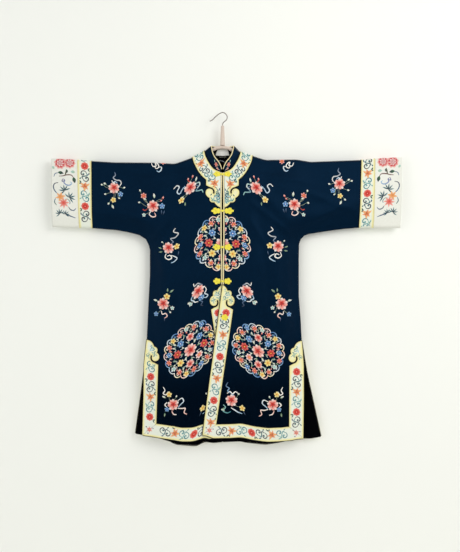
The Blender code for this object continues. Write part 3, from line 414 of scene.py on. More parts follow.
def node_group(name, inputs, outputs):
    """A shader node group with named inputs (name, kind, value) and outputs, and its two end nodes."""
    group = bpy.data.node_groups.new(name, "ShaderNodeTree")
    for label, kind, value in inputs:
        socket = group.interface.new_socket(name=label, in_out="INPUT", socket_type=kind)
        if value is not None:
            socket.default_value = value
    for label, kind in outputs:
        group.interface.new_socket(name=label, in_out="OUTPUT", socket_type=kind)
    return group, group.nodes.new("NodeGroupInput"), group.nodes.new("NodeGroupOutput")


def maths(tree, operation, a, b=None):
    """One Math node on two values or sockets."""
    node = tree.nodes.new("ShaderNodeMath")
    node.operation = operation
    for socket, value in zip(node.inputs, (a, b)):
        if isinstance(value, (int, float)):
            socket.default_value = value
        elif value is not None:
            tree.links.new(value, socket)
    return node.outputs[0]


def make_weave():
    """Woven thread: warp and weft as sines of the place over the thread's spacing, uneven by a slow noise."""
    group, start, end = node_group(
        "woven_thread",
        [("Place", "NodeSocketVector", None), ("Thread", "NodeSocketFloat", 0.0008),
         ("Weft", "NodeSocketFloat", 0.4)],
        [("Height", "NodeSocketFloat"), ("Slub", "NodeSocketFloat")])
    split = group.nodes.new("ShaderNodeSeparateXYZ")
    group.links.new(start.outputs["Place"], split.inputs[0])
    turn = maths(group, "DIVIDE", 2.0 * math.pi, start.outputs["Thread"])
    warp = maths(group, "SINE", maths(group, "MULTIPLY", split.outputs["X"], turn))
    weft = maths(group, "SINE", maths(group, "MULTIPLY", split.outputs["Y"], turn))
    slub = group.nodes.new("ShaderNodeTexNoise")
    slub.inputs["Scale"].default_value = 140.0
    slub.inputs["Detail"].default_value = 3.0
    group.links.new(start.outputs["Place"], slub.inputs["Vector"])
    both = maths(group, "ADD", warp, maths(group, "MULTIPLY", weft, start.outputs["Weft"]))
    group.links.new(maths(group, "ADD", both, slub.outputs["Fac"]), end.inputs["Height"])
    group.links.new(slub.outputs["Fac"], end.inputs["Slub"])
    return group


WOVEN = make_weave()


def cloth_finish(name, dark, light, roughness, thread, sheen, tint, specular=0.5, weft=0.4, bump=0.25):
    """A woven cloth: two tones mixed by the slubs and a slow cloudiness, the weave's bump
    and a soft sheen."""
    finish = bpy.data.materials.new(name)
    finish.use_nodes = True
    tree = finish.node_tree
    shader = tree.nodes["Principled BSDF"]
    place = tree.nodes.new("ShaderNodeUVMap")
    place.uv_map = "cloth"
    weave = tree.nodes.new("ShaderNodeGroup")
    weave.node_tree = WOVEN
    weave.inputs["Thread"].default_value = thread
    weave.inputs["Weft"].default_value = weft
    tree.links.new(place.outputs["UV"], weave.inputs["Place"])
    cloud = tree.nodes.new("ShaderNodeTexNoise")
    cloud.inputs["Scale"].default_value = 9.0
    tree.links.new(place.outputs["UV"], cloud.inputs["Vector"])
    tone = maths(tree, "ADD", maths(tree, "MULTIPLY", weave.outputs["Slub"], 0.45),
                 maths(tree, "MULTIPLY", cloud.outputs["Fac"], 0.55))
    mix = tree.nodes.new("ShaderNodeMix")
    mix.data_type = "RGBA"
    mix.inputs["A"].default_value = (*dark, 1.0)
    mix.inputs["B"].default_value = (*light, 1.0)
    tree.links.new(tone, mix.inputs["Factor"])
    tree.links.new(mix.outputs["Result"], shader.inputs["Base Color"])
    bumped = tree.nodes.new("ShaderNodeBump")
    bumped.inputs["Strength"].default_value = bump
    bumped.inputs["Distance"].default_value = 0.0002
    tree.links.new(weave.outputs["Height"], bumped.inputs["Height"])
    tree.links.new(bumped.outputs["Normal"], shader.inputs["Normal"])
    shader.inputs["Roughness"].default_value = roughness
    shader.inputs["Specular IOR Level"].default_value = specular
    shader.inputs["Sheen Weight"].default_value = sheen
    shader.inputs["Sheen Roughness"].default_value = 0.45
    shader.inputs["Sheen Tint"].default_value = (*tint, 1.0)
    return finish


NAVY_SATIN = cloth_finish("navy_satin_cloth", (0.0003, 0.0035, 0.0100), (0.0008, 0.0072, 0.0205),
                          0.40, 0.0007, 0.012, (0.10, 0.35, 0.80), specular=0.20, weft=0.15)
NAVY_SATIN.node_tree.nodes["Principled BSDF"].inputs["Specular Tint"].default_value = (0.08, 0.36, 0.85, 1.0)


def painted_shade_below(finish, top, bottom, share):
    """Painted shade: fades a cloth's colour and gloss to a share of themselves between two heights, darker
    towards the bottom, where the light falls off.
    """
    tree = finish.node_tree
    shader = tree.nodes["Principled BSDF"]
    ground = next(node for node in tree.nodes if node.bl_idname == "ShaderNodeMix")
    height = tree.nodes.new("ShaderNodeSeparateXYZ")
    tree.links.new(tree.nodes.new("ShaderNodeTexCoord").outputs["Object"], height.inputs["Vector"])
    fade = tree.nodes.new("ShaderNodeMapRange")
    fade.interpolation_type = "SMOOTHSTEP"
    fade.inputs["From Min"].default_value = bottom
    fade.inputs["From Max"].default_value = top
    fade.inputs["To Min"].default_value = share
    tree.links.new(height.outputs["Z"], fade.inputs["Value"])
    shaded_colour = tree.nodes.new("ShaderNodeVectorMath")
    shaded_colour.operation = "SCALE"
    tree.links.new(ground.outputs["Result"], shaded_colour.inputs[0])
    tree.links.new(fade.outputs["Result"], shaded_colour.inputs["Scale"])
    tree.links.new(shaded_colour.outputs["Vector"], shader.inputs["Base Color"])
    gloss = maths(tree, "MULTIPLY", fade.outputs["Result"], shader.inputs["Specular IOR Level"].default_value)
    tree.links.new(gloss, shader.inputs["Specular IOR Level"])


# Painted shade on the navy satin: its colour and gloss darken towards the hem, down to 35% at the bottom,
# standing in for the light falling off there.
painted_shade_below(NAVY_SATIN, -0.80, -1.08, 0.35)
LINING = cloth_finish("dark_lining", (0.0004, 0.0005, 0.0012), (0.0008, 0.0009, 0.0018), 0.75, 0.0009,
                      0.0, (0.3, 0.35, 0.6), specular=0.02)


def make_satin(side):
    """One half of the robe: its front and its half back, joined along the crown of the shoulder."""
    points, normals, faces, uv, area, count = [], [], [], [], 0.0, 0
    for layer in ("front", "back"):
        outline = flat_outline(panel_outline(side, layer == "front"))
        flat, triangles = cut_flat(outline, SATIN_GRID)
        place, normal = on_cloth(f"{layer}_{side}", flat[:, 0], flat[:, 1], np.full(len(flat), CLOTH_WALL))
        points.append(place)
        normals.append(normal)
        faces.append(turned_out(place, triangles, normal) + count)
        uv.append(flat * ((1.0, 1.0) if layer == "front" else (1.0, -1.0)))
        area += flat_area(outline)
        count += len(flat)
    piece = new_piece("satin_" + side, np.vstack(points), np.vstack(faces), [NAVY_SATIN, LINING],
                      np.vstack(uv))
    joined = bmesh.new()
    joined.from_mesh(piece.data)
    bmesh.ops.remove_doubles(joined, verts=joined.verts[:], dist=0.00002)
    joined.to_mesh(piece.data)
    joined.free()
    with_wall(piece, CLOTH_WALL, inner=1)
    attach(piece, "root")
    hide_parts("front_" + side, "back_" + side)
    return piece


for side in SIDES:
    make_satin(side)


# The hanger
# A padded rod wound with pinkish satin tape, sloping to both shoulders inside the robe, a stem wound with the
# same tape, and a hook of dull steel wire that goes into the stem.
ARM_RADIUS = 0.0064
ARM_MIDDLE_Z = -0.1285
ARM_NECK_DIP = 0.0018
ARM_STATIONS = [0.0672, 0.088, 0.113, 0.140, 0.158]
STEM_TOP_Z = -0.046
HOOK_WIRE = 0.0018
TAPE_PITCH = 0.011
HOOK = [(0.0, -0.0455), (0.0, -0.0425), (0.0040, -0.0355), (0.0150, -0.0250), (0.0175, -0.0130),
        (0.0100, -0.0020), (0.0000, 0.0018), (-0.0130, -0.0035), (-0.0270, -0.0150), (-0.0380, -0.0260),
        (-0.0480, -0.0310)]


def grid_faces(rows, columns, wrap=False):
    """Two triangles for each cell of a grid of points, closed round its columns where it wraps."""
    r = np.arange(rows - 1)[:, None]
    c = np.arange(columns if wrap else columns - 1)[None]
    after = (c + 1) % columns
    a, b, d, e = r * columns + c, r * columns + after, (r + 1) * columns + c, (r + 1) * columns + after
    return np.stack([a, b, e, a, e, d], axis=-1).reshape(-1, 3)


def swept(path, up, wide, high, sides=8):
    """A cord along a path: round each point an ellipse, wide across the path and high along up, with both
    ends closed to a point. Returns the points, triangles and (length, turn) of each point in metres."""
    path = np.asarray(path, float)
    ahead = np.gradient(path, axis=0)
    ahead /= np.linalg.norm(ahead, axis=1, keepdims=True)
    beside = np.cross(ahead, np.broadcast_to(up, path.shape))
    beside /= np.linalg.norm(beside, axis=1, keepdims=True)
    above = np.cross(beside, ahead)
    wide, high = (np.broadcast_to(size, len(path))[:, None, None] for size in (wide, high))
    turn = 2.0 * math.pi * np.arange(sides) / sides
    ring = path[:, None] + beside[:, None] * wide * np.cos(turn)[:, None]
    ring = ring + above[:, None] * high * np.sin(turn)[:, None]
    points = np.vstack([ring.reshape(-1, 3), path[:1], path[-1:]])
    faces = grid_faces(len(path), sides, wrap=True)
    k = np.arange(sides)
    after, last = (k + 1) % sides, (len(path) - 1) * sides
    near = np.stack([np.full(sides, len(points) - 2), after, k], axis=-1)
    far = np.stack([np.full(sides, len(points) - 1), last + k, last + after], axis=-1)
    length = np.concatenate([[0.0], np.cumsum(np.linalg.norm(np.diff(path, axis=0), axis=1))])
    uv = np.stack(np.broadcast_arrays(length[:, None], turn[None] * float(wide.mean())),
                  axis=-1).reshape(-1, 2)
    uv = np.vstack([uv, uv[:1], uv[-1:]])
    middle = np.vstack([np.repeat(path, sides, axis=0), path[:1] + ahead[:1], path[-1:] - ahead[-1:]])
    faces = turned_out(points, np.vstack([faces, near, far]), points - middle)
    return points, faces, uv


def gathered(parts):
    """Several meshes' points, triangles and values as one."""
    counts = np.cumsum([0] + [len(part[0]) for part in parts])
    points = np.vstack([part[0] for part in parts])
    faces = np.vstack([part[1] + count for part, count in zip(parts, counts)])
    return points, faces, np.vstack([part[2] for part in parts])


def tape_wound(path, up, radius, name):
    """A rod wound with tape: its radius swells across each turn of the tape and drops
    where the next begins."""
    path = resampled(path, 0.0011)
    points, faces, uv = swept(path, up, radius, radius, 20)
    turns = np.mod(uv[:, 0] / TAPE_PITCH + uv[:, 1] / (2.0 * math.pi * radius), 1.0)
    centre = np.vstack([np.repeat(path, 20, axis=0), path[:1], path[-1:]])
    swell = 0.955 + 0.045 * np.sin(math.pi * np.clip(turns * 1.08, 0.0, 1.0)) ** 0.5
    return new_piece(name, centre + (points - centre) * swell[:, None], faces, [TAPE], uv)


TAPE = cloth_finish("wound_satin_tape", (0.50, 0.40, 0.33), (0.72, 0.61, 0.53), 0.40, 0.0006, 0.25,
                    (1.0, 0.9, 0.85))
near, arm = [], [(0.0, 0.0, ARM_MIDDLE_Z)]
for sign in SIDES.values():
    x = np.array(ARM_STATIONS)
    crown = shoulder_z(sign * x)
    steep = np.hypot(1.0, np.gradient(crown, x))
    axis = crown - 1.5 * GAP - 0.0066 * steep
    axis[0] -= ARM_NECK_DIP
    dip = axis[0] - ARM_MIDDLE_Z
    half = [(sign * 0.022, 0.0, ARM_MIDDLE_Z + 0.12 * dip), (sign * 0.044, 0.0, ARM_MIDDLE_Z + 0.50 * dip)]
    half += [(sign * px, 0.0, pz) for px, pz in zip(x, axis)]
    arm = arm + half if sign > 0 else half[::-1] + arm
padded_arms = tape_wound(arm, (0.0, 1.0, 0.0), ARM_RADIUS, "tape_wound_arms")
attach(padded_arms, "root")
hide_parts("hanger_arms")

stem_z = np.linspace(ARM_MIDDLE_Z + 0.0066 + GAP, STEM_TOP_Z, 60)
stem_share = (stem_z - stem_z[0]) / (stem_z[-1] - stem_z[0])
stem_radius = 0.0095 + (0.0062 - 0.0095) * stem_share
stem_radius *= np.clip(np.sqrt(np.clip((1.0 - stem_share) / 0.06, 0.02, 1.0)), 0.0, 1.0)
stem_path = np.stack([0 * stem_z, 0 * stem_z, stem_z], axis=-1)
points, faces, uv = swept(stem_path, (0.0, 1.0, 0.0), stem_radius, stem_radius, 24)
turns = np.mod(uv[:, 0] / 0.009 + uv[:, 1] / (2.0 * math.pi * float(stem_radius.mean())), 1.0)
swell = 0.95 + 0.05 * np.sin(math.pi * np.clip(turns * 1.1, 0.0, 1.0)) ** 0.5
points[:, :2] *= swell[:, None]
wound_stem = new_piece("tape_wound_stem", points, faces, [TAPE], uv)
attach(wound_stem, "root")
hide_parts("hanger_stem")

WIRE = bpy.data.materials.new("dull_steel_wire")
WIRE.use_nodes = True
wire_shader = WIRE.node_tree.nodes["Principled BSDF"]
wire_place = WIRE.node_tree.nodes.new("ShaderNodeTexCoord")
wire_mark = WIRE.node_tree.nodes.new("ShaderNodeTexNoise")
wire_mark.inputs["Scale"].default_value = 320.0
wire_tone = WIRE.node_tree.nodes.new("ShaderNodeMix")
wire_tone.data_type = "RGBA"
wire_tone.inputs["A"].default_value = (0.16, 0.14, 0.125, 1.0)
wire_tone.inputs["B"].default_value = (0.34, 0.31, 0.285, 1.0)
WIRE.node_tree.links.new(wire_place.outputs["Object"], wire_mark.inputs["Vector"])
WIRE.node_tree.links.new(wire_mark.outputs["Fac"], wire_tone.inputs["Factor"])
WIRE.node_tree.links.new(wire_tone.outputs["Result"], wire_shader.inputs["Base Color"])
wire_shader.inputs["Metallic"].default_value = 0.7
wire_shader.inputs["Roughness"].default_value = 0.38
hook_path = smooth_path([(hx, 0.0, hz) for hx, hz in HOOK], 8)
hook = new_piece("hook_wire_bend", *swept(hook_path, (0.0, 1.0, 0.0), HOOK_WIRE, HOOK_WIRE, 12)[:2], [WIRE])
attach(hook, "root")
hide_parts("hanger_hook")

# The stand collar
# A band of the same satin standing on the neck seam, lined, with a cream satin cord round its free edge and a
# blank woven tape label sewn inside its back.
NECK_STEPS = 6
COLLAR_CLEARANCE = 0.0016
CROWN_TURN = (0.001, 0.0)
COLLAR_FRONT_X = 0.0040
COLLAR_CORD = 0.0018
LABEL_HALF = 1.62 * NECK_STEPS / 2
LABEL_HEIGHTS = (0.10, 0.88)
COLLAR_TOP_FRONT = [
    (0.0050, -0.2140, 0.003), (0.0095, -0.2000, 0.006), (0.0170, -0.1860, 0.009), (0.0270, -0.1740, 0.010),
    (0.0360, -0.1580, 0.010), (0.0402, -0.1440, 0.008), (0.0415, -0.1385, 0.006), (0.0423, -0.1340, 0.004),
    (0.0430, -0.1295, 0.002), (0.0435, -0.1250, 0.000)]
COLLAR_TOP_BACK = [
    (0.0435, -0.1250, 0.0000), (0.0412, -0.1254, 0.0000), (0.0385, -0.1258, 0.0000),
    (0.0345, -0.1264, 0.0005), (0.0190, -0.1280, 0.0010), (0.0000, -0.1285, 0.0010)]


def collar_half(side):
    """The base and the top of the collar on one side: the base a little inside the neck's edge on the cloth,
    the top from its own table, each from the opening over the shoulder to the centre back."""
    sign, base, top = SIDES[side], [], []
    for layer, neck, top_table, out in (("front_", NECK_FRONT, COLLAR_TOP_FRONT, -1.0),
                                        ("back_", NECK_BACK, COLLAR_TOP_BACK, 1.0)):
        x, z = smooth_path(neck, NECK_STEPS).T
        seam = np.stack([x, down_the_cloth(sign * x, z)], axis=-1)
        inward = np.abs(np.gradient(seam, axis=0))[:, ::-1] + CROWN_TURN
        inward /= np.linalg.norm(inward, axis=-1, keepdims=True)
        x, s = (seam - COLLAR_CLEARANCE * inward).T
        x = np.maximum(x, COLLAR_FRONT_X) if layer == "front_" else np.append(x[:-1], 0.0)
        place = layer_point(sign * x, np.maximum(s, 0.0), layer + side)
        top_x, top_z, lean = smooth_path(top_table, NECK_STEPS).T
        base.append(place)
        top.append(np.stack([sign * top_x, place[:, 1] + out * lean, top_z], axis=-1))
    for line in (base, top):
        line[0][-1, 1] = 0.0
        line[1] = line[1][1:]
    return np.concatenate(base), np.concatenate(top)


COLLAR_BASE, COLLAR_TOP = [np.concatenate([left, right[::-1][1:]])
                           for left, right in zip(collar_half("left"), collar_half("right"))]
COLLAR_LAST = len(COLLAR_BASE) - 1


def on_collar(i, j, height):
    """Points a height above the collar's inside: i counts along it, j runs from its base to its top."""
    def place(i, j):
        """The point on the collar's middle sheet, which bows outwards halfway up."""
        k = np.arange(COLLAR_LAST + 1)
        low, high = (np.stack([np.interp(i, k, line[:, axis]) for axis in range(3)], axis=-1)
                     for line in (COLLAR_BASE, COLLAR_TOP))
        bow = 0.0016 * np.sin(math.pi * np.clip(j, 0.0, 1.0))[..., None] * np.sign(low[..., 1:2])
        return low + (high - low) * j[..., None] + bow * np.array([0.0, 1.0, 0.0])
    i, j = np.broadcast_arrays(np.asarray(i, float), np.asarray(j, float))
    along = place(np.minimum(i + 0.3, COLLAR_LAST), j) - place(np.maximum(i - 0.3, 0.0), j)
    normal = np.cross(place(i, j + 0.02) - place(i, j - 0.02), along)
    normal /= np.linalg.norm(normal, axis=-1, keepdims=True)
    return place(i, j) + normal * np.asarray(height)[..., None], normal


i, j = np.meshgrid(np.linspace(0.0, COLLAR_LAST, 2 * COLLAR_LAST + 1), np.linspace(0.0, 1.0, 9),
                   indexing="ij")
points, normals = on_collar(i.ravel(), j.ravel(), np.full(i.size, CLOTH_WALL))
collar_length = float(np.linalg.norm(np.diff(COLLAR_BASE, axis=0), axis=1).sum())
uv = np.stack([i.ravel() * collar_length / COLLAR_LAST, j.ravel() * 0.035], axis=-1)
faces = turned_out(points, grid_faces(*i.shape), normals)
collar = with_wall(new_piece("collar_satin", points, faces, [NAVY_SATIN, LINING], uv), CLOTH_WALL, inner=1)
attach(collar, "root")
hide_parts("collar")

CREAM = cloth_finish("cream_satin_cord", (0.70, 0.60, 0.30), (0.86, 0.78, 0.48), 0.42, 0.0006, 0.2,
                     (1.0, 0.95, 0.8))
i = np.linspace(0.0, COLLAR_LAST, COLLAR_LAST * 2 + 1)
edge, normals = on_collar(i, np.ones(len(i)), np.full(len(i), 0.5 * CLOTH_WALL))
ahead = np.gradient(edge, axis=0)
ahead /= np.linalg.norm(ahead, axis=1, keepdims=True)
away = np.cross(ahead, normals)
away *= np.sign((away[:, 2:3].mean()))
cord = edge + away * (COLLAR_CORD + 0.0002)
collar_cord = new_piece("collar_edge_cord", *swept(cord, normals, COLLAR_CORD, COLLAR_CORD, 10)[:2], [CREAM],
                        swept(cord, normals, COLLAR_CORD, COLLAR_CORD, 10)[2])
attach(collar_cord, "root")
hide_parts("collar_piping")

LABEL = cloth_finish("white_tape", (0.66, 0.66, 0.62), (0.82, 0.82, 0.78), 0.55, 0.0007, 0.1, (1.0, 1.0, 1.0))
half = COLLAR_LAST / 2
i, j = np.meshgrid(np.linspace(half - LABEL_HALF, half + LABEL_HALF, 25), np.linspace(*LABEL_HEIGHTS, 13),
                   indexing="ij")
lift = 0.0004 + 0.0004 * np.sin(np.linspace(0.0, math.pi, 25))[:, None] * np.ones(13)
points, normals = on_collar(i.ravel(), j.ravel(), -lift.ravel())
uv = np.stack([i.ravel() * 0.006, j.ravel() * 0.035], axis=-1)
faces = turned_out(points, grid_faces(*i.shape), -normals)
label = with_wall(new_piece("blank_label", points, faces, [LABEL], uv), 0.0004)
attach(label, "root")
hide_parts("label")

# The ribbon borders
# Ivory woven ribbon, cut to a ruyi cloud head at each end that shows, sewn flat on the satin round the neck,
# down both lower edges of the opening, up the side slits and along the hems. A yellow cord is couched along
# each free edge, with a black cord beside it on the satin.
BAND = 0.053
HEM_BAND = 0.050
EDGE_BAND = 0.95 * BAND
PIPING_WIDTH = 0.0045
LAP_STARTS = 4
CHEST_RUYI_Z = -0.2740
RUYI_HEIGHT = 0.091
CHEST_RUYI_SHARE = 0.90
RUYI_CURL = (0.0410, 0.0275)
RUYI_CURL_RADIUS = 0.0135
RUYI_SLOT = 0.0065
# The three lobes of a ruyi head from its curl to its tip: where each ends, from the edge and from the band's
# shoulder, and how far it swells. The heads at the slits are fuller than those beside the opening.
LOBE_COLUMNS = ("across", "along", "swell")
OPENING_LOBES = [(0.0390, 0.0520, 0.0050), (0.0215, 0.0700, 0.0085), (0.0, RUYI_HEIGHT, 0.0028)]
SLIT_LOBES = [(0.0438, 0.0450, 0.0030), (0.0315, 0.0665, 0.0075), (0.0, RUYI_HEIGHT, 0.0065)]
RIBBON_GRID = 0.0034
HEAD_YELLOW_SHARE = 0.5
RIBBON_TOP = CLOTH_WALL + GAP + TRIM_WALL
MITRE = 0.0006
NECK_BORDER = [(0.1130, -0.1500), (0.1090, -0.1800), (0.1000, -0.2010), (0.0890, -0.2220), (0.0750, -0.2400),
               (0.0600, -0.2530)]
NECK_BORDER_BACK = [(0.1130, -0.1500), (0.1060, -0.1850), (0.0800, -0.2080), (0.0400, -0.2200),
                    (0.0, -0.2230)]


def ribbon_finish():
    """Ivory ribbon with yellow along its free edges: the edge mark is the distance to the edge in metres."""
    finish = cloth_finish("ivory_ribbon", (0.66, 0.70, 0.60), (0.80, 0.84, 0.76), 0.55, 0.0009, 0.08,
                          (1.0, 1.0, 0.95), specular=0.25)
    tree = finish.node_tree
    ground = next(node for node in tree.nodes if node.bl_idname == "ShaderNodeMix")
    mark = tree.nodes.new("ShaderNodeAttribute")
    mark.attribute_name = "edge"
    fade = tree.nodes.new("ShaderNodeMapRange")
    fade.interpolation_type = "SMOOTHSTEP"
    fade.inputs["From Min"].default_value = 0.0012
    fade.inputs["From Max"].default_value = 0.0105
    yellow = tree.nodes.new("ShaderNodeMix")
    yellow.data_type = "RGBA"
    yellow.inputs["A"].default_value = (0.82, 0.77, 0.38, 1.0)
    tree.links.new(mark.outputs["Fac"], fade.inputs["Value"])
    tree.links.new(fade.outputs["Result"], yellow.inputs["Factor"])
    tree.links.new(ground.outputs["Result"], yellow.inputs["B"])
    tree.links.new(yellow.outputs["Result"], tree.nodes["Principled BSDF"].inputs["Base Color"])
    return finish


RIBBON = ribbon_finish()
YELLOW_EDGE = cloth_finish("yellow_edge_cord", (0.70, 0.62, 0.26), (0.88, 0.82, 0.42), 0.45, 0.0006, 0.15,
                           (1.0, 0.95, 0.7))
BLACK_CORD = cloth_finish("black_cord", (0.0010, 0.0012, 0.0022), (0.0022, 0.0025, 0.0040), 0.45,
                          0.0006, 0.02, (0.5, 0.5, 0.6), specular=0.15)
ribbon_outlines = {f"{layer}_{side}": [] for layer in ("front", "back") for side in SIDES}
bound_edges = {face: [] for face in ribbon_outlines}


def arc(centre, radius, start, end, steps):
    """Points of an arc, angles in degrees."""
    angles = np.radians(np.linspace(start, end, steps + 1))
    return list(zip(centre[0] + radius * np.cos(angles), centre[1] + radius * np.sin(angles)))


def swelling(start, end, swell, steps):
    """Points of a lobe's edge from start, left out, to end: straight, swelling outward by a sine."""
    (ax, az), (bx, bz) = start, end
    length = math.hypot(bx - ax, bz - az)
    points = []
    for t in np.arange(1, steps + 1) / steps:
        out = swell * math.sin(math.pi * t) ** 0.8 / length
        points.append((ax + (bx - ax) * t + out * (bz - az), az + (bz - az) * t - out * (bx - ax)))
    return points


def line_at(line, z):
    """The x of a line of (x, z) points, which runs downwards, at a height."""
    return float(np.interp(-z, [-row[1] for row in line], [row[0] for row in line]))


def ruyi(width, lobes):
    """The outer edge of a ruyi cloud head from its band's shoulder to its tip, as (across, along): in under
    the curl to the slot's eye, back round the curl, and over three lobes."""
    points = arc(RUYI_CURL, RUYI_CURL_RADIUS + RUYI_SLOT, -100, -205, 14)
    points += arc(RUYI_CURL, RUYI_CURL_RADIUS, -205, 0, 20)
    for row in lobes:
        lobe = dict(zip(LOBE_COLUMNS, row))
        points += swelling(points[-1], (lobe["across"], lobe["along"]), lobe["swell"], 12)
    return [(width, 0.0)] + [(a * width / BAND, h) for a, h in points]


def headed_band(edge, hem, top, width, sign, lobes):
    """A band down an edge from a ruyi head to the mitre at the hem, as the line round its bound edges: up the
    inner edge from the mitre, over the head and down the outer edge."""
    head = [(line_at(edge, top - RUYI_HEIGHT + h) + sign * a, top - RUYI_HEIGHT + h)
            for a, h in ruyi(width, lobes)]
    corner_x = edge[-1][0]
    inner_x = corner_x + sign * width
    below = [p for p in edge if p[1] < top - 0.001]
    return [(inner_x, line_at_x(hem, inner_x) + HEM_BAND)] + head + below


def along_hem(hem, x0, x1):
    """The points of a hem strictly between two x values, in the hem's own order."""
    return [p for p in hem if min(x0, x1) + 0.004 < p[0] < max(x0, x1) - 0.004]


def hem_lines(hem, start_x, start_band, end_x, end_band):
    """The lower and the upper edge of the band along a hem, between the mitres at both ends."""
    in_start, in_end = start_x + start_band, end_x - end_band
    lower = [(start_x + MITRE, line_at_x(hem, start_x))] + along_hem(hem, start_x, end_x)
    lower += [(end_x - MITRE, line_at_x(hem, end_x))]
    upper = [(in_start + MITRE, line_at_x(hem, in_start) + HEM_BAND)]
    upper += [(x, z + HEM_BAND) for x, z in along_hem(hem, in_start, in_end)]
    return lower, upper + [(in_end - MITRE, line_at_x(hem, in_end) + HEM_BAND)]


def make_ribbon(name, node, face, outline, bound, head=None):
    """One ribbon: its outline cut from the flat cloth, laid a gap above the satin, with its edges marked.
    Between the heights of a ruyi head the mark is smaller, so that the yellow reaches further in."""
    outline = flat_outline(outline)
    bound = [flat_outline(line) for line in bound]
    places, triangles = cut_flat(outline, RIBBON_GRID)
    edge = np.min([distance_to_line(places[:, 0], places[:, 1], line) for line in bound], axis=0)
    if head:
        top, bottom = down_the_cloth(np.zeros(2), np.array(head))
        edge = np.where((places[:, 1] > top) & (places[:, 1] < bottom), HEAD_YELLOW_SHARE * edge, edge)
    points, normals = on_cloth(face, places[:, 0], places[:, 1], np.full(len(places), RIBBON_TOP))
    faces = turned_out(points, triangles, normals)
    piece = with_wall(new_piece(name, points, faces, [RIBBON], places, {"edge": edge}), TRIM_WALL)
    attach(piece, "root")
    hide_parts(node)
    ribbon_outlines[face].append(outline)
    bound_edges[face] += [(line, outline) for line in bound]


for side, sign in SIDES.items():
    front, back = "front_" + side, "back_" + side
    inner = [(x + 0.0012, z - 0.0008) for x, z in smooth_path(NECK_FRONT, 3)[3:]]
    piping = [(sign * (x + sign * (PIPING_WIDTH + 2 * GAP)), z) for x, z in FRONT_EDGE[side]]
    rows = [(a, CHEST_RUYI_Z - CHEST_RUYI_SHARE * h) for a, h in ruyi(BAND, OPENING_LOBES)]
    head = [(line_at(piping, z) + a, z) for a, z in rows]
    opening = [(line_at(piping, z), z) for z in (FRONT_EDGE[side][1][1], NECK_FRONT[0][1] - 0.0012)]
    outer = [tuple(p) for p in smooth_path(NECK_BORDER, 3)] + head
    mirror = [[(sign * x, z) for x, z in line] for line in (inner + outer + opening, outer, inner)]
    make_ribbon("neck_ribbon_" + side, "neck_border_" + side, front, mirror[0], mirror[1:],
                (CHEST_RUYI_Z, CHEST_RUYI_Z - RUYI_HEIGHT))
    inner = [(x + 0.0012, z - 0.0012) for x, z in smooth_path(NECK_BACK, 3)[:-1]][::-1]
    outer = [tuple(p) for p in smooth_path(NECK_BORDER_BACK, 3)]
    outer[-1] = (0.5 * GAP, outer[-1][1])
    mirror = [[(sign * x, z) for x, z in line]
              for line in ([(0.5 * GAP, NECK_BACK[-1][1] - 0.0012)] + inner + outer, outer, inner)]
    make_ribbon("neck_ribbon_back_" + side, "neck_border_back_" + side, back, mirror[0], mirror[1:])

    lap = headed_band(FRONT_EDGE[side], FRONT_HEM[side], FRONT_EDGE[side][LAP_STARTS][1], EDGE_BAND, sign,
                      OPENING_LOBES)
    make_ribbon("opening_ribbon_" + side, "front_border_" + side, front, lap, [lap],
                (FRONT_EDGE[side][LAP_STARTS][1] + 0.01, FRONT_EDGE[side][LAP_STARTS][1] - RUYI_HEIGHT))
    slit = headed_band(FRONT_SLIT[side], FRONT_HEM[side], FRONT_SLIT[side][0][1], BAND, -sign, SLIT_LOBES)
    make_ribbon("slit_ribbon_" + side, "side_border_" + side, front, slit, [slit],
                (FRONT_SLIT[side][0][1] + 0.01, FRONT_SLIT[side][0][1] - RUYI_HEIGHT))
    slit = headed_band(BACK_SLIT[side], BACK_HEM[side], BACK_SLIT[side][0][1], BAND, -sign, SLIT_LOBES)
    make_ribbon("slit_ribbon_back_" + side, "side_border_back_" + side, back, slit, [slit],
                (BACK_SLIT[side][0][1] + 0.01, BACK_SLIT[side][0][1] - RUYI_HEIGHT))

    (x0, band0), (x1, band1) = sorted(((FRONT_SLIT[side][-1][0], BAND), (FRONT_EDGE[side][-1][0], EDGE_BAND)))
    lower, upper = hem_lines(FRONT_HEM[side], x0, band0, x1, band1)
    make_ribbon("hem_ribbon_" + side, "hem_border_" + side, front, lower + upper[::-1], [lower, upper])
    (x0, band0), (x1, band1) = sorted(((BACK_SLIT[side][-1][0], BAND), (sign * 0.5 * GAP, 0.0)))
    lower, upper = hem_lines(BACK_HEM[side], x0, band0, x1, band1)
    make_ribbon("hem_ribbon_back_" + side, "hem_border_back_" + side, back, lower + upper[::-1],
                [lower, upper])


def shifted(line, outline, distance):
    """A flat line moved sideways, away from the piece that it bounds where the distance is over zero."""
    ahead = np.gradient(line, axis=0)
    ahead /= np.linalg.norm(ahead, axis=1, keepdims=True)
    out = np.stack([ahead[:, 1], -ahead[:, 0]], axis=-1)
    wrong = inside(line + out * 0.0012, outline).mean() > 0.5
    return line + out * (-distance if wrong else distance)


def edge_cords(name, face, distance, wide, high, lift, finish):
    """The cords along all of a face's ribbon edges: each edge's line moved sideways and
    swept with an ellipse."""
    parts = []
    for line, outline in bound_edges[face]:
        line = shifted(resampled(line, 0.0042), outline, distance)
        path, up = on_cloth(face, line[:, 0], line[:, 1], np.full(len(line), lift))
        parts.append(swept(path, up, wide, high, 6))
    points, faces, uv = gathered(parts)
    piece = new_piece(name, points, faces, [finish], uv)
    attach(piece, "root")
    return piece


for face in ribbon_outlines:
    edge_cord = edge_cords("yellow_edge_" + face, face, -0.0011, 0.0014, 0.0010, RIBBON_TOP, YELLOW_EDGE)
    black = edge_cords("black_edge_" + face, face, 0.0017, 0.0012, 0.0012, CLOTH_WALL + 0.0008, BLACK_CORD)

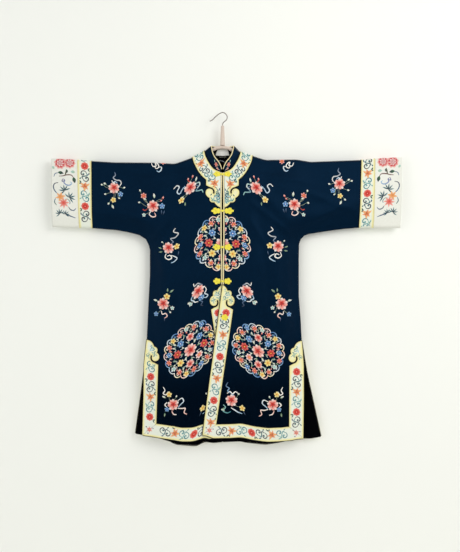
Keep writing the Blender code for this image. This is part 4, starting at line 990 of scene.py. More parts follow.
# The cream piping down the opening
# A cream satin cord sewn along both edges of the opening, from the neck to the lower ribbons.
for side, sign in SIDES.items():
    edge = np.array(FRONT_EDGE[side][:LAP_STARTS + 1], float)
    edge[0, 1] -= 0.0012
    edge[-1, 1] += 0.002
    edge = resampled(flat_outline(edge + (sign * 0.5 * PIPING_WIDTH, 0.0)), 0.004)
    path, up = on_cloth("front_" + side, edge[:, 0], edge[:, 1],
                        np.full(len(edge), CLOTH_WALL + GAP + 0.0006))
    points, faces, uv = swept(path, up, 0.5 * PIPING_WIDTH, 0.0011, 10)
    opening_cord = new_piece("opening_cord_" + side, points, faces, [CREAM], uv)
    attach(opening_cord, "root")
    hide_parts("front_piping_" + side)

# The sleeve bands and the cuffs
# The same ribbon sewn round each sleeve's end, and on it a cuff of ivory satin, open at its end. Both are
# tubes that follow the sleeve's fold, with a seam underneath.
CUFF_SEAM = {"left": (-0.5415, -0.5355), "right": (0.5700, 0.5640)}
CUFF_END = {"left": (-0.6400, -0.6370), "right": (0.6700, 0.6660)}
RING_STEPS = 56
IVORY_SATIN = cloth_finish("ivory_satin", (0.66, 0.67, 0.60), (0.81, 0.82, 0.77), 0.46, 0.0007, 0.10,
                           (1.0, 1.0, 0.95), specular=0.25, weft=0.15)


def sleeve_ring(side, x_top, x_bottom):
    """One ring of a sleeve from the seam underneath, up the front, over the fold and down the back: the
    points of its inside, the outward directions there and how far down the cloth each point is."""
    bottom_z = line_at_x(SEAM[side], x_bottom)
    length = float(down_the_cloth(np.array([x_bottom]), np.array([bottom_z]))[0])
    share = np.linspace(1.0, -1.0, RING_STEPS + 1)
    s = length * np.sign(share) * np.abs(share) ** 1.25
    x = x_top + (x_bottom - x_top) * np.abs(s) / length
    ring = over_shoulder("front_" + side, x, s)
    ring[[0, -1], 1] = (-GAP, GAP)
    slope = np.roll(ring, -1, axis=0) - np.roll(ring, 1, axis=0)
    normal = np.stack([0.0 * s, -slope[:, 2], slope[:, 1]], axis=-1)
    return ring, normal / np.linalg.norm(normal, axis=-1, keepdims=True), s


def make_sleeve_tube(name, node, side, start, end, columns, finish, edged):
    """A tube between two slanted sleeve seams, as rings closed under the sleeve, with its two ends marked."""
    rings = []
    for share in np.linspace(0.0, 1.0, columns + 1):
        rings.append(sleeve_ring(side, *(a + (b - a) * share for a, b in zip(start, end))))
    ring, normal, s = (np.stack([row[k] for row in rings]) for k in range(3))
    points = (ring + normal * (CLOTH_WALL + 0.0002)).reshape(-1, 3)
    uv = np.stack([ring[..., 0], s], axis=-1).reshape(-1, 2)
    width = abs(end[0] - start[0])
    edge = np.broadcast_to(np.linspace(0.0, 1.0, columns + 1)[:, None] * width, s.shape).ravel()
    edge = np.minimum(edge, width - edge) if edged else edge + 1.0
    faces = turned_out(points, grid_faces(*s.shape, wrap=True), normal.reshape(-1, 3))
    piece = with_wall(new_piece(name, points, faces, [finish], uv, {"edge": edge}), CLOTH_WALL)
    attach(piece, "root")
    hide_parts(node)
    return piece


for side, sign in SIDES.items():
    start = [x + sign * GAP for x in SLEEVE_END[side]]
    make_sleeve_tube("sleeve_ribbon_" + side, "sleeve_band_" + side, side, start, CUFF_SEAM[side], 14,
                     RIBBON, True)
    start = [x + sign * GAP for x in CUFF_SEAM[side]]
    make_sleeve_tube("ivory_cuff_" + side, "cuff_" + side, side, start, CUFF_END[side], 26,
                     IVORY_SATIN, False)
    parts = []
    for (x_top, x_bottom), out in ((SLEEVE_END[side], -0.0012), (SLEEVE_END[side], 0.0014),
                                   (CUFF_SEAM[side], 0.0)):
        ring, normal, s = sleeve_ring(side, x_top + sign * out, x_bottom + sign * out)
        lift = CLOTH_WALL + (0.0004 if out < 0.0 else 0.0008)
        parts.append((out, swept(ring + normal * lift, normal, 0.0012, 0.0010, 6)))
    points, faces, uv = gathered([part for out, part in parts if out >= 0.0])
    seam_cord = new_piece("sleeve_edge_cord_" + side, points, faces, [YELLOW_EDGE], uv)
    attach(seam_cord, "root")
    points, faces, uv = gathered([part for out, part in parts if out < 0.0])
    black = new_piece("sleeve_black_cord_" + side, points, faces, [BLACK_CORD], uv)
    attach(black, "root")

# The frogs
# Five fastenings of bright yellow satin cord, sewn to the edges of the opening. Each half is a flower of five
# double loops on a small pad, and the halves of the upper four meet at a knotted ball.
PETAL_REACH = (0.64, 0.95, 1.0, 0.95)
FROG_COLUMNS = ("z", "left_x", "right_x", "half_width", "half_height", "raised")
FROGS = [
    (-0.2325, -0.0200, 0.0200, 0.0145, 0.0105, True),
    (-0.3690, -0.0240, 0.0245, 0.0180, 0.0125, False),
    (-0.5040, -0.0215, 0.0215, 0.0145, 0.0125, False),
    (-0.6305, -0.0200, 0.0200, 0.0145, 0.0125, False),
    (-0.7650, None, 0.0090, 0.0135, 0.0130, True),
]
YELLOW_CORD = cloth_finish("yellow_satin_cord", (0.84, 0.72, 0.04), (1.0, 0.92, 0.12), 0.34, 0.0006, 0.10,
                           (1.0, 0.95, 0.6), specular=0.35)


def loop_of(reach, spread, angle):
    """A petal's loop in its flower, as shares of the flower's half sizes: out from the middle, round its
    crown and back, its angle swinging by a sine while its reach rises and falls by the root of a sine."""
    t = np.linspace(0.03, 0.97, 13)
    turn = angle + spread * np.sin(2.0 * math.pi * t) * -1.0
    out = reach * np.sin(math.pi * t) ** 0.55
    return np.stack([out * np.cos(turn), out * np.sin(turn)], axis=-1)


def make_frog(number, side, frog):
    """One half of a frog: a domed pad and ten loops of cord, on the cloth or on its ribbon."""
    face, sign = "front_" + side, SIDES[side]
    foot = CLOTH_WALL + (GAP + TRIM_WALL if frog["raised"] else 0.0) + GAP
    size = np.array([sign * frog["half_width"], frog["half_height"]])
    middle = np.array([frog[side + "_x"], frog["z"]])

    def place(shares, height):
        """Points on the cloth, from shares of the flower's half sizes."""
        x, z = (middle + size * shares).T
        return on_cloth(face, x, down_the_cloth(x, z), height)

    angle = 2.0 * math.pi * (np.arange(21) - 2) / 20
    reach = np.array([PETAL_REACH[k % 4] for k in range(21)])
    share = np.array([0.02, 0.35, 0.65, 0.86, 0.97, 1.0])[:, None]
    ring = np.stack([share * reach * np.cos(angle), share * reach * np.sin(angle)], axis=-1).reshape(-1, 2)
    dome = np.broadcast_to(0.0011 * np.sqrt(np.maximum(1.0 - share**4, 0.0)), (6, 21)).ravel()
    points, normals = place(ring, foot + dome)
    parts = [(points, turned_out(points, grid_faces(6, 21), normals), ring * 0.01)]
    for k in range(5):
        crown = 2.0 * math.pi * k / 5
        for far, spread, rise in ((0.84, 0.46, 0.0014), (0.58, 0.24, 0.0017)):
            shares = loop_of(far, spread, crown)
            path, up = place(shares, np.full(len(shares), foot + rise))
            parts.append(swept(path, up, 0.0012, 0.0012, 6))
    shares = np.array([(0.0, 0.0), (-0.5, 0.05), (-0.9, 0.0), (-1.25, 0.0)])
    path, up = place(smooth_path(shares, 3), foot + 0.0019)
    parts.append(swept(path, up, 0.0015, 0.0013, 6))
    points, faces, uv = gathered(parts)
    piece = new_piece(f"frog_cord_{number}_{side}", points, faces, [YELLOW_CORD], uv)
    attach(piece, "root")
    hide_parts(f"frog_{number}_{side}")


def make_knot(number, z):
    """The knotted ball between two halves: a flattened ball whose radius rises and falls
    with the wound cord."""
    edges = [(sign, line_at(FRONT_EDGE[side], z), "front_" + side) for side, sign in SIDES.items()]
    heights = [layer_point(np.array([x]), down_the_cloth(np.array([x]), np.array([z])), face)[0, 1]
               for _, x, face in edges]
    space = min(sign * x for sign, x, _ in edges)
    radius, flat = 0.0043, 0.8
    out = min(heights) - CLOTH_WALL - TRIM_WALL - 2.0 * GAP - flat * math.sqrt(radius**2 - space**2)
    around, down = np.meshgrid(np.linspace(0.0, 2.0 * math.pi, 25), np.linspace(0.0, math.pi, 15))
    wound = 1.0 - 0.09 * np.abs(np.cos(1.5 * around + 2.2 * down)) * np.sin(down)
    ball = np.stack([np.sin(down) * np.cos(around), flat * np.sin(down) * np.sin(around),
                     np.cos(down)], axis=-1)
    ball = (ball * wound[..., None]).reshape(-1, 3)
    faces = turned_out(ball, grid_faces(15, 25), ball)
    uv = np.stack([around, down], axis=-1).reshape(-1, 2) * 0.004
    piece = new_piece(f"knot_ball_{number}", ball * radius + (0.0, out, z), faces, [YELLOW_CORD], uv)
    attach(piece, "root")
    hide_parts(f"knot_{number}")


for number, row in enumerate(FROGS, 1):
    frog = dict(zip(FROG_COLUMNS, row))
    for side in SIDES:
        if frog[side + "_x"] is not None:
            make_frog(number, side, frog)
    if frog["left_x"] is not None:
        make_knot(number, frog["z"])

# The embroidered borders
# Silk floss in satin stitch on the ribbons: round red flowers and orange lilies in turn, with teal and dark
# scrolls between them. Every stitched shape is a low dome of thread along a path, in mm until it is placed.
SILKS = {
    "coral": (214, 66, 52), "red": (184, 28, 30), "rose": (228, 112, 100), "pink": (244, 186, 174),
    "white": (246, 243, 236), "cream": (242, 226, 168), "yellow": (234, 198, 88), "orange": (226, 142, 74),
    "peach": (242, 190, 140), "teal": (50, 124, 134), "pale_teal": (150, 200, 194), "ink": (24, 32, 52),
    "green": (62, 104, 72), "sage": (172, 194, 164), "blue": (36, 98, 172), "sky": (150, 192, 224),
    "slate": (84, 110, 142), "purple": (104, 88, 142), "brown": (104, 62, 54), "crimson": (190, 40, 70),
}
STITCH_ACROSS = np.array([-1.0, -0.62, 0.0, 0.62, 1.0])
RED_FLOWER_EVERY = 0.150


def silk(name):
    """A floss colour as linear light."""
    return tuple((part / 255.0) ** 2.2 for part in SILKS[name])


def stitched(path, half_width, near, far, rise=0.0007, along=False):
    """One shape: its path, its half width at each point, its colours at the start and the end, how high it
    domes in metres, and whether its threads lie along the path."""
    path = np.asarray(path, float)
    half_width = np.broadcast_to(np.asarray(half_width, float), len(path))
    return [(path, half_width, silk(near), silk(far), rise, along)]


def petal(reach, width, near, far, rise=0.0007, sharp=0.8, bend=0.0, start=0.0):
    """A petal or leaf up from the middle: its half width is the sine of a share of its length, to a power."""
    t = np.linspace(0.0, 1.0, 7)
    path = np.stack([bend * reach * t * t, start + (reach - start) * t], axis=-1)
    full = np.sin(math.pi * np.clip(t, 0.015, 0.985) ** (1.5 if sharp < 1.0 else 0.9)) ** sharp
    return stitched(path, 0.5 * width * full, near, far, rise, along=True)


def moved(shapes, u=0.0, v=0.0, turn=0.0, size=1.0, mirror=1.0):
    """Shapes mirrored, scaled, turned by degrees and moved."""
    c, s = math.cos(math.radians(turn)), math.sin(math.radians(turn))
    out = []
    for path, width, near, far, rise, along in shapes:
        x, y = mirror * size * path[:, 0], size * path[:, 1]
        out.append((np.stack([u + c * x - s * y, v + s * x + c * y], axis=-1), width * size, near, far,
                    rise, along))
    return out


def ring_of(shape, count, turn=0.0):
    """A shape repeated round the middle."""
    return [one for k in range(count) for one in moved(shape, turn=turn + 360.0 * k / count)]


def stroke(points, width, near, far, taper=0.35, rise=0.0006):
    """A line of thread through its points: the width is fullest at the middle and narrows to the ends."""
    path = smooth_path(points, 4)
    t = np.linspace(0.0, 1.0, len(path))
    full = taper + (1.0 - taper) * np.sin(math.pi * np.clip(t, 0.02, 0.98)) ** 0.7
    return stitched(path, 0.5 * width * full, near, far, rise)


def curl(radius, turns, near, far, width=1.8):
    """A scroll: a spiral out from its eye, its radius growing evenly with its angle."""
    t = np.linspace(0.0, 1.0, int(12 * turns) + 4)
    angle = 2.0 * math.pi * turns * t
    reach = radius * (0.18 + 0.82 * t)
    path = np.stack([reach * np.cos(angle), reach * np.sin(angle)], axis=-1)
    full = 0.45 + 0.55 * np.sin(math.pi * np.clip(0.15 + 0.8 * t, 0.0, 1.0))
    return stitched(path, 0.5 * width * full, near, far, 0.0006)


def dot(radius, near, far=None, rise=0.0008):
    """A round knot of thread: the half width of a circle along its middle."""
    t = np.linspace(-0.98, 0.98, 6)
    return stitched(np.stack([0 * t, radius * t], axis=-1), radius * np.sqrt(1.0 - t * t), near,
                    far or near, rise)


def blossom(radius, near, far, heart, petals=6, plump=0.62):
    """A small open flower: one ring of petals, a smaller one over it and a knot."""
    outer = ring_of(petal(radius, plump * radius, near, far, start=0.12 * radius), petals)
    inner = ring_of(petal(0.52 * radius, 0.36 * radius, near, near, 0.0011), petals, 180.0 / petals)
    return outer + inner + dot(0.20 * radius, heart, rise=0.0015)


def round_flower(radius):
    """The border's round flower: two rings of broad coral petals edged paler, and a cream knot."""
    outer = ring_of(petal(radius, 0.80 * radius, "coral", "rose", 0.0008, start=0.2 * radius), 8)
    inner = ring_of(petal(0.68 * radius, 0.55 * radius, "red", "coral", 0.0012), 6, 20.0)
    return outer + inner + dot(0.17 * radius, "rose", "pink", 0.0017)


def lily(radius):
    """An open lily: six pointed petals and three stamens."""
    long = ring_of(petal(radius, 0.40 * radius, "orange", "peach", 0.0008, sharp=1.1, bend=0.22), 3, 12.0)
    short = ring_of(petal(0.82 * radius, 0.36 * radius, "coral", "peach", 0.0010, sharp=1.1,
                          bend=-0.18), 3, 70.0)
    return long + short + ring_of(petal(0.5 * radius, 0.13 * radius, "brown", "orange", 0.0012,
                                        sharp=1.1), 3, 40.0)


def leaf_pair(shade, light, size=8.0):
    """Two pointed leaves from one stalk."""
    return (moved(petal(size, 0.38 * size, shade, light, sharp=1.1, bend=0.2), turn=38.0)
            + moved(petal(size, 0.38 * size, shade, light, sharp=1.1, bend=-0.2), turn=-38.0))


def scroll(shade, light, reach=21.0, width=4.0):
    """An S of two open spirals joined at the waist, each round a paler dot, with a leaf at each side."""
    shapes = []
    for u, v, turn in ((0.28, 0.44, 170.0), (-0.28, -0.44, -10.0)):
        shapes += moved(curl(0.60 * reach, 1.0, shade, shade, width), u * reach, v * reach, turn)
        shapes += moved(dot(2.4, light), u * reach, v * reach)
    shapes += stroke([(-0.30 * reach, 0.50 * reach), (-0.46 * reach, 0.12 * reach),
                      (0.46 * reach, -0.12 * reach),
                      (0.30 * reach, -0.50 * reach)], width, shade, light, taper=0.7)
    shapes += moved(petal(11.0, 5.0, shade, light, sharp=1.1, bend=0.3), 0.62 * reach, -0.20 * reach, -140.0)
    shapes += moved(petal(10.0, 4.4, light, shade, sharp=1.1, bend=-0.3), -0.64 * reach, 0.25 * reach, 30.0)
    return shapes


def placed(shapes, x, s, turn=0.0, size=1.0, mirror=1.0):
    """Shapes put on the flat cloth at (x, s), in metres, with up the cloth as their up."""
    return [(np.stack([x + 0.001 * path[:, 0], s - 0.001 * path[:, 1]], axis=-1), 0.001 * width, *rest)
            for path, width, *rest in moved(shapes, turn=turn, size=size, mirror=mirror)]


def strip_grid(shape):
    """A shape's grid on the flat cloth: five points across its path at each point of it."""
    path, width, near, far, rise, along = shape
    ahead = np.gradient(path, axis=0)
    ahead /= np.maximum(np.linalg.norm(ahead, axis=1, keepdims=True), 1e-9)
    side = np.stack([-ahead[:, 1], ahead[:, 0]], axis=-1)
    flat = path[:, None] + side[:, None] * (width[:, None] * STITCH_ACROSS)[..., None]
    plump = 0.30 + 0.70 * width / max(float(width.max()), 1e-9)
    high = rise * np.sqrt(1.0 - STITCH_ACROSS**2)[None] * plump[:, None]
    t = np.linspace(0.0, 1.0, len(path))[:, None, None]
    colour = np.array([*near, 1.0]) * (1.0 - t) + np.array([*far, 1.0]) * t
    colour = np.broadcast_to(colour, (*flat.shape[:2], 4))
    length = np.concatenate([[0.0], np.cumsum(np.linalg.norm(np.diff(path, axis=0), axis=1))])
    over = np.stack(np.broadcast_arrays(length[:, None], width[:, None] * STITCH_ACROSS), axis=-1)
    return flat, high, colour, over[..., ::-1] if along else over


def floss_finish():
    """Silk floss: the colour of each stitch, a little uneven, with the threads of the
    satin stitch as its bump."""
    finish = bpy.data.materials.new("silk_floss")
    finish.use_nodes = True
    tree = finish.node_tree
    shader = tree.nodes["Principled BSDF"]
    colour = tree.nodes.new("ShaderNodeAttribute")
    colour.attribute_name = "floss"
    place = tree.nodes.new("ShaderNodeUVMap")
    place.uv_map = "cloth"
    weave = tree.nodes.new("ShaderNodeGroup")
    weave.node_tree = WOVEN
    weave.inputs["Thread"].default_value = 0.0006
    weave.inputs["Weft"].default_value = 0.0
    tree.links.new(place.outputs["UV"], weave.inputs["Place"])
    deep = tree.nodes.new("ShaderNodeMix")
    deep.data_type = "RGBA"
    deep.blend_type = "MULTIPLY"
    deep.inputs["B"].default_value = (0.72, 0.72, 0.72, 1.0)
    tree.links.new(colour.outputs["Color"], deep.inputs["A"])
    tree.links.new(maths(tree, "MULTIPLY", weave.outputs["Slub"], 0.5), deep.inputs["Factor"])
    tree.links.new(deep.outputs["Result"], shader.inputs["Base Color"])
    bumped = tree.nodes.new("ShaderNodeBump")
    bumped.inputs["Strength"].default_value = 0.5
    bumped.inputs["Distance"].default_value = 0.0002
    tree.links.new(weave.outputs["Height"], bumped.inputs["Height"])
    tree.links.new(bumped.outputs["Normal"], shader.inputs["Normal"])
    shader.inputs["Roughness"].default_value = 0.42
    shader.inputs["Specular IOR Level"].default_value = 0.3
    shader.inputs["Sheen Weight"].default_value = 0.08
    return finish


FLOSS = floss_finish()


def embroider(name, shapes, place, base, allowed=None):
    """Lays the shapes on the cloth as one piece: place gives points and normals from the flat place and the
    height. What reaches a place that isn't allowed is cut off there."""
    grids = [strip_grid(shape) for shape in shapes]
    flat, colour, uv = (np.vstack([grid[k].reshape(-1, grid[k].shape[-1]) for grid in grids])
                        for k in (0, 2, 3))
    high = np.concatenate([grid[1].ravel() for grid in grids])
    counts = np.cumsum([0] + [grid[1].size for grid in grids])
    faces = np.vstack([grid_faces(*grid[1].shape) + count for grid, count in zip(grids, counts)])
    if allowed is not None:
        faces = faces[allowed(flat)[faces].all(axis=1)]
        used = np.unique(faces)
        faces = np.searchsorted(used, faces)
        flat, colour, uv, high = flat[used], colour[used], uv[used], high[used]
    points, normals = place(flat[:, 0], flat[:, 1], base - 0.0001 + high)
    faces = turned_out(points, faces, normals)
    piece = new_piece(name, points, faces, [FLOSS], uv, {"floss": colour})
    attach(piece, "root")
    return piece


def border_motif(name):
    """A motif of the borders' repeat, upright on the band."""
    if name == "red":
        return round_flower(14.8) + moved(leaf_pair("green", "ink", 13.0), 12.0, 10.0, -60.0)
    if name == "lily":
        return lily(21.0) + moved(leaf_pair("ink", "green", 14.0), -13.0, -10.0, 120.0)
    if name == "dark":
        return scroll("ink", "teal") + moved(dot(2.2, "purple"), 15.0, -8.0)
    return scroll("teal", "pale_teal") + moved(petal(9.0, 4.0, "green", "sage", sharp=1.1), 13.0, -6.0)


def along_band(line, first, sign=1.0, repeat=RED_FLOWER_EVERY, order=("red", "dark", "lily", "teal"),
               clear=0.006, stop=0.006):
    """The border's repeat along a flat line: the first motif of the order at the first distance and again at
    every repeat from there, with the others evenly between."""
    line = resampled(line, 0.004)
    length = np.concatenate([[0.0], np.cumsum(np.linalg.norm(np.diff(line, axis=0), axis=1))])
    ahead = np.gradient(line, axis=0)
    shapes, step, k = [], repeat / len(order), 0
    at = first % repeat - repeat
    while at < length[-1] - stop:
        if at > clear:
            x, s = (np.interp(at, length, line[:, axis]) for axis in (0, 1))
            dx, ds = (np.interp(at, length, ahead[:, axis]) for axis in (0, 1))
            turn = math.degrees(math.atan2(-dx, -ds))
            motif = border_motif(order[k % len(order)])
            shapes += placed(motif, x, s, turn, mirror=sign * (1.0 if (k // len(order)) % 2 else -1.0))
        at += step
        k += 1
    return shapes


def head_waves(reach):
    """The pale waves that fill a ruyi head: three teal scrolls, with stones of pale teal between them."""
    shapes = []
    for u, v, turn, size in ((-2.0, 16.0, 0.0, 0.62), (-9.0, -6.0, 60.0, 0.62), (12.0, -12.0, -60.0, 0.6)):
        shapes += moved(scroll("teal", "pale_teal", reach), u, v, turn, size)
    for u, v in ((2.0, 3.0), (-9.0, 24.0), (9.0, 2.0), (0.0, -20.0)):
        shapes += moved(petal(8.0, 5.0, "pale_teal", "sky"), u, v, 25.0)
    return shapes


def corner_star():
    """The motif at a mitred corner: a coral star with purple and dark dots round it."""
    star = ring_of(petal(12.5, 5.4, "coral", "pink", 0.0009, sharp=1.0), 6) + dot(1.8, "cream", rise=0.0014)
    for turn, shade in ((20.0, "purple"), (140.0, "ink"), (250.0, "purple")):
        star += moved(dot(2.4, shade), 15.0 * math.cos(math.radians(turn)),
                      15.0 * math.sin(math.radians(turn)))
    return star


def under_the_lap(flat):
    """Whether places on the left front are under the right front's edge."""
    lap = flat_outline(FRONT_EDGE["right"][LAP_STARTS:])
    edge = np.interp(flat[:, 1], lap[:, 1], lap[:, 0], left=1.0, right=lap[-1, 0])
    return flat[:, 0] > edge - 0.002


def ribbon_part(face):
    """The rule for stitches on a face's ribbons: inside one and clear of its bound edges."""
    def rule(flat):
        """True for each flat point inside a ribbon and clear of its edges."""
        within = np.zeros(len(flat), bool)
        for outline in ribbon_outlines[face]:
            within |= inside(flat, outline)
        for line, _ in bound_edges[face]:
            within &= distance_to_line(flat[:, 0], flat[:, 1], line) > 0.0030
        return within & ~under_the_lap(flat) if face == "front_left" else within
    return rule


def band_line(edge_line, hem, top, sign):
    """The middle of a headed band, from inside its head to its corner at the hem."""
    rows = [(line_at(edge_line, top - 0.016), top - 0.016)] + [p for p in edge_line if p[1] < top - 0.03]
    end_x = edge_line[-1][0] + sign * 0.5 * BAND
    points = [(x + sign * 0.5 * BAND, z) for x, z in rows[:-1]]
    return flat_outline(points + [(end_x, line_at_x(hem, end_x) + 0.5 * HEM_BAND)])


NECK_MIDDLE = {
    "front": [(0.0890, -0.1480), (0.0860, -0.1760), (0.0760, -0.2000), (0.0620, -0.2220), (0.0450, -0.2400),
              (0.0300, -0.2620), (0.0260, -0.3000), (0.0240, -0.3450)],
    "back": [(0.0890, -0.1480), (0.0830, -0.1720), (0.0620, -0.1860), (0.0300, -0.1920), (0.0040, -0.1940)],
}
NECK_ORDER = ("teal", "lily", "dark", "teal", "lily", "dark")
SLIT_FIRST = {"left": 0.120, "right": 0.097}
HEM_FIRST = {"left": 0.137, "right": 0.126}
for layer, slits, hems in (("front", FRONT_SLIT, FRONT_HEM), ("back", BACK_SLIT, BACK_HEM)):
    for side, sign in SIDES.items():
        face, hem = f"{layer}_{side}", hems[side]
        shapes = along_band(band_line(slits[side], hem, slits[side][0][1], -sign), SLIT_FIRST[side], -sign,
                            clear=0.070, stop=0.030)
        middle = flat_outline([(x, z + 0.5 * HEM_BAND) for x, z in hem])
        middle = resampled(middle if middle[0, 0] < middle[-1, 0] else middle[::-1], 0.01)
        ends = (BAND, EDGE_BAND if layer == "front" else 0.004)[:: 1 if side == "left" else -1]
        middle = middle[(middle[:, 0] > middle[0, 0] + ends[0]) & (middle[:, 0] < middle[-1, 0] - ends[1])]
        shapes += along_band(middle, HEM_FIRST[side], sign, clear=0.012)
        shapes += along_band(flat_outline([(sign * x, z) for x, z in NECK_MIDDLE[layer]]), 0.014, sign,
                             repeat=0.0325 * len(NECK_ORDER), order=NECK_ORDER)
        x, z = slits[side][0]
        heads = [(x - sign * 0.022, z - 0.045)]
        corners = [slits[side][-1][0] - sign * 0.5 * BAND]
        if layer == "front":
            edge = FRONT_EDGE[side]
            lap_top = edge[LAP_STARTS][1]
            heads += [(sign * 0.019, CHEST_RUYI_Z - 0.048),
                      (edge[LAP_STARTS][0] + sign * 0.020, lap_top - 0.045)]
            corners.append(edge[-1][0] + sign * 0.5 * EDGE_BAND)
            shapes += along_band(band_line(edge, hem, lap_top, sign), 0.088, sign, repeat=0.165, clear=0.070,
                                 stop=0.022)
        for x, z in heads:
            s = float(down_the_cloth(np.array([x]), np.array([z]))[0])
            shapes += placed(head_waves(17.0), x, s, mirror=sign)
        for x in corners:
            z = line_at_x(hem, x) + 0.5 * HEM_BAND
            s = float(down_the_cloth(np.array([x]), np.array([z]))[0])
            shapes += placed(corner_star(), x, s)
        embroider("border_flowers_" + face, shapes, lambda x, s, h, face=face: on_cloth(face, x, s, h),
                  RIBBON_TOP, ribbon_part(face))

# The embroidery on the sleeve bands and cuffs
# The borders' repeat goes down each sleeve band. Each cuff has a crimson flower head at its fold and, below
# it, leaves, a scroll, bamboo and two lilies, in the same floss. The rows are read from the left cuff.
CUFF_ROWS = [
    ("peony_head", -16.0, -20.0, 0.0, 1.0), ("peony_head", 20.0, -17.0, 24.0, 0.95),
    ("dark_leaf", -24.0, -55.0, -90.0, 1.2), ("dark_leaf", 33.0, -70.0, -155.0, 1.3),
    ("dark_leaf", 8.0, -42.0, -165.0, 0.8), ("pale_leaf", 40.0, -52.0, 75.0, 1.2),
    ("pale_leaf", -38.0, -43.0, 30.0, 1.0),
    ("bamboo", 2.0, -122.0, 40.0, 1.1), ("bamboo", 20.0, -148.0, -40.0, 1.1),
    ("bamboo", -16.0, -208.0, 40.0, 0.9), ("bamboo", 4.0, -210.0, -20.0, 0.8),
    ("orange_lily", -14.0, -146.0, 40.0, 1.15), ("coral_lily", -2.0, -168.0, 0.0, 1.3),
]
CUFF_STROKES = [
    ("brown", "green", 4.6, [(8, -42), (5, -56), (4, -66)]),
    ("brown", "brown", 4.0, [(-20, -69), (-4, -67), (8, -63), (26, -63), (36, -74)]),
    ("slate", "slate", 3.0, [(-20, -56), (-34, -60), (-39, -72)]),
    ("purple", "sky", 4.6, [(-4, -78), (2, -84), (-1, -92), (8, -100), (20, -101), (28, -94), (22, -88)]),
    ("slate", "purple", 3.6, [(2, -84), (-8, -88), (-6, -78)]),
    ("ink", "slate", 4.0, [(-22, -93), (-36, -98), (-40, -112), (-32, -128), (-14, -142)]),
    ("slate", "green", 3.4, [(-32, -152), (-36, -166), (-28, -178)]),
    ("sage", "slate", 3.2, [(2, -154), (14, -154), (22, -164), (20, -172)]),
    ("ink", "slate", 3.8, [(16, -182), (24, -192), (36, -194), (44, -186)]),
    ("ink", "slate", 4.2, [(2, -208), (18, -214), (42, -222)]),
]
LEAF_FAN = (-100.0, -62.0, -24.0, 14.0, 52.0, 96.0)
CUFF_MOTIFS = {
    "peony_head": (ring_of(petal(23.0, 12.5, "crimson", "pink", 0.0009, start=6.0), 9)
                   + ring_of(petal(18.5, 10.0, "rose", "crimson", 0.0013, start=4.0), 8, 20.0)
                   + ring_of(petal(13.5, 9.0, "crimson", "white", 0.0017, start=2.0), 7, 8.0)
                   + ring_of(petal(8.5, 6.5, "white", "crimson", 0.0021), 5)
                   + dot(2.0, "crimson", rise=0.0024)),
    "dark_leaf": petal(18.0, 10.0, "green", "ink", sharp=1.1, bend=0.15),
    "pale_leaf": petal(14.0, 9.0, "sage", "pale_teal", sharp=1.1, bend=-0.15),
    "bamboo": [one for turn in LEAF_FAN for one in moved(petal(21.0, 4.4, "ink", "teal", sharp=1.2, bend=0.1),
                                                         turn=turn)],
    "orange_lily": ring_of(petal(17.0, 7.0, "orange", "peach", 0.0009, sharp=1.1, bend=0.15), 6, 10.0),
    "coral_lily": ring_of(petal(17.0, 5.5, "coral", "pink", 0.0009, sharp=1.1, bend=0.12), 8, 10.0),
}


def sleeve_part(start, end, margin, low):
    """The rule for stitches on a sleeve's tube between two slanted seams, clear of them
    and of the seam below."""
    def rule(flat):
        """True for each flat point between both seams."""
        share = np.abs(flat[:, 1]) / low
        a, b = (pair[0] + (pair[1] - pair[0]) * share for pair in (start, end))
        x = flat[:, 0]
        return (x > np.minimum(a, b) + margin) & (x < np.maximum(a, b) - margin) & (flat[:, 1] < low - 0.005)
    return rule


for side, sign in SIDES.items():
    tops = [0.5 * (a + b) for a, b in zip(SLEEVE_END[side], CUFF_SEAM[side])]
    low = float(down_the_cloth(np.array([tops[1]]), np.array([line_at_x(SEAM[side], tops[1])]))[0])
    middle = 0.5 * (CUFF_SEAM[side][0] + CUFF_END[side][0])
    cuff = [one for kind, u, v, turn, size in CUFF_ROWS for one in moved(CUFF_MOTIFS[kind], u, v, turn, size)]
    cuff += [one for near, far, width, points in CUFF_STROKES for one in stroke(points, width, near, far)]
    for layer in ("front", "back"):
        face = f"{layer}_{side}"
        begin = -0.024 if layer == "front" else 0.030
        first = {"left": 0.026, "right": 0.132}[side] - begin
        band = along_band(np.array([(tops[0], begin), (tops[1], low - 0.004)]), first, sign, clear=0.0)
        embroider("sleeve_flowers_" + face, band, lambda x, s, h, face=face: on_cloth(face, x, s, h),
                  CLOTH_WALL + 0.0003, sleeve_part(SLEEVE_END[side], CUFF_SEAM[side], 0.005, low))
        embroider("cuff_flowers_" + face, placed(cuff, middle, 0.0, mirror=-sign),
                  lambda x, s, h, face=face: on_cloth(face, x, s, h), CLOTH_WALL + 0.0003,
                  sleeve_part(CUFF_SEAM[side], CUFF_END[side], 0.003, low))

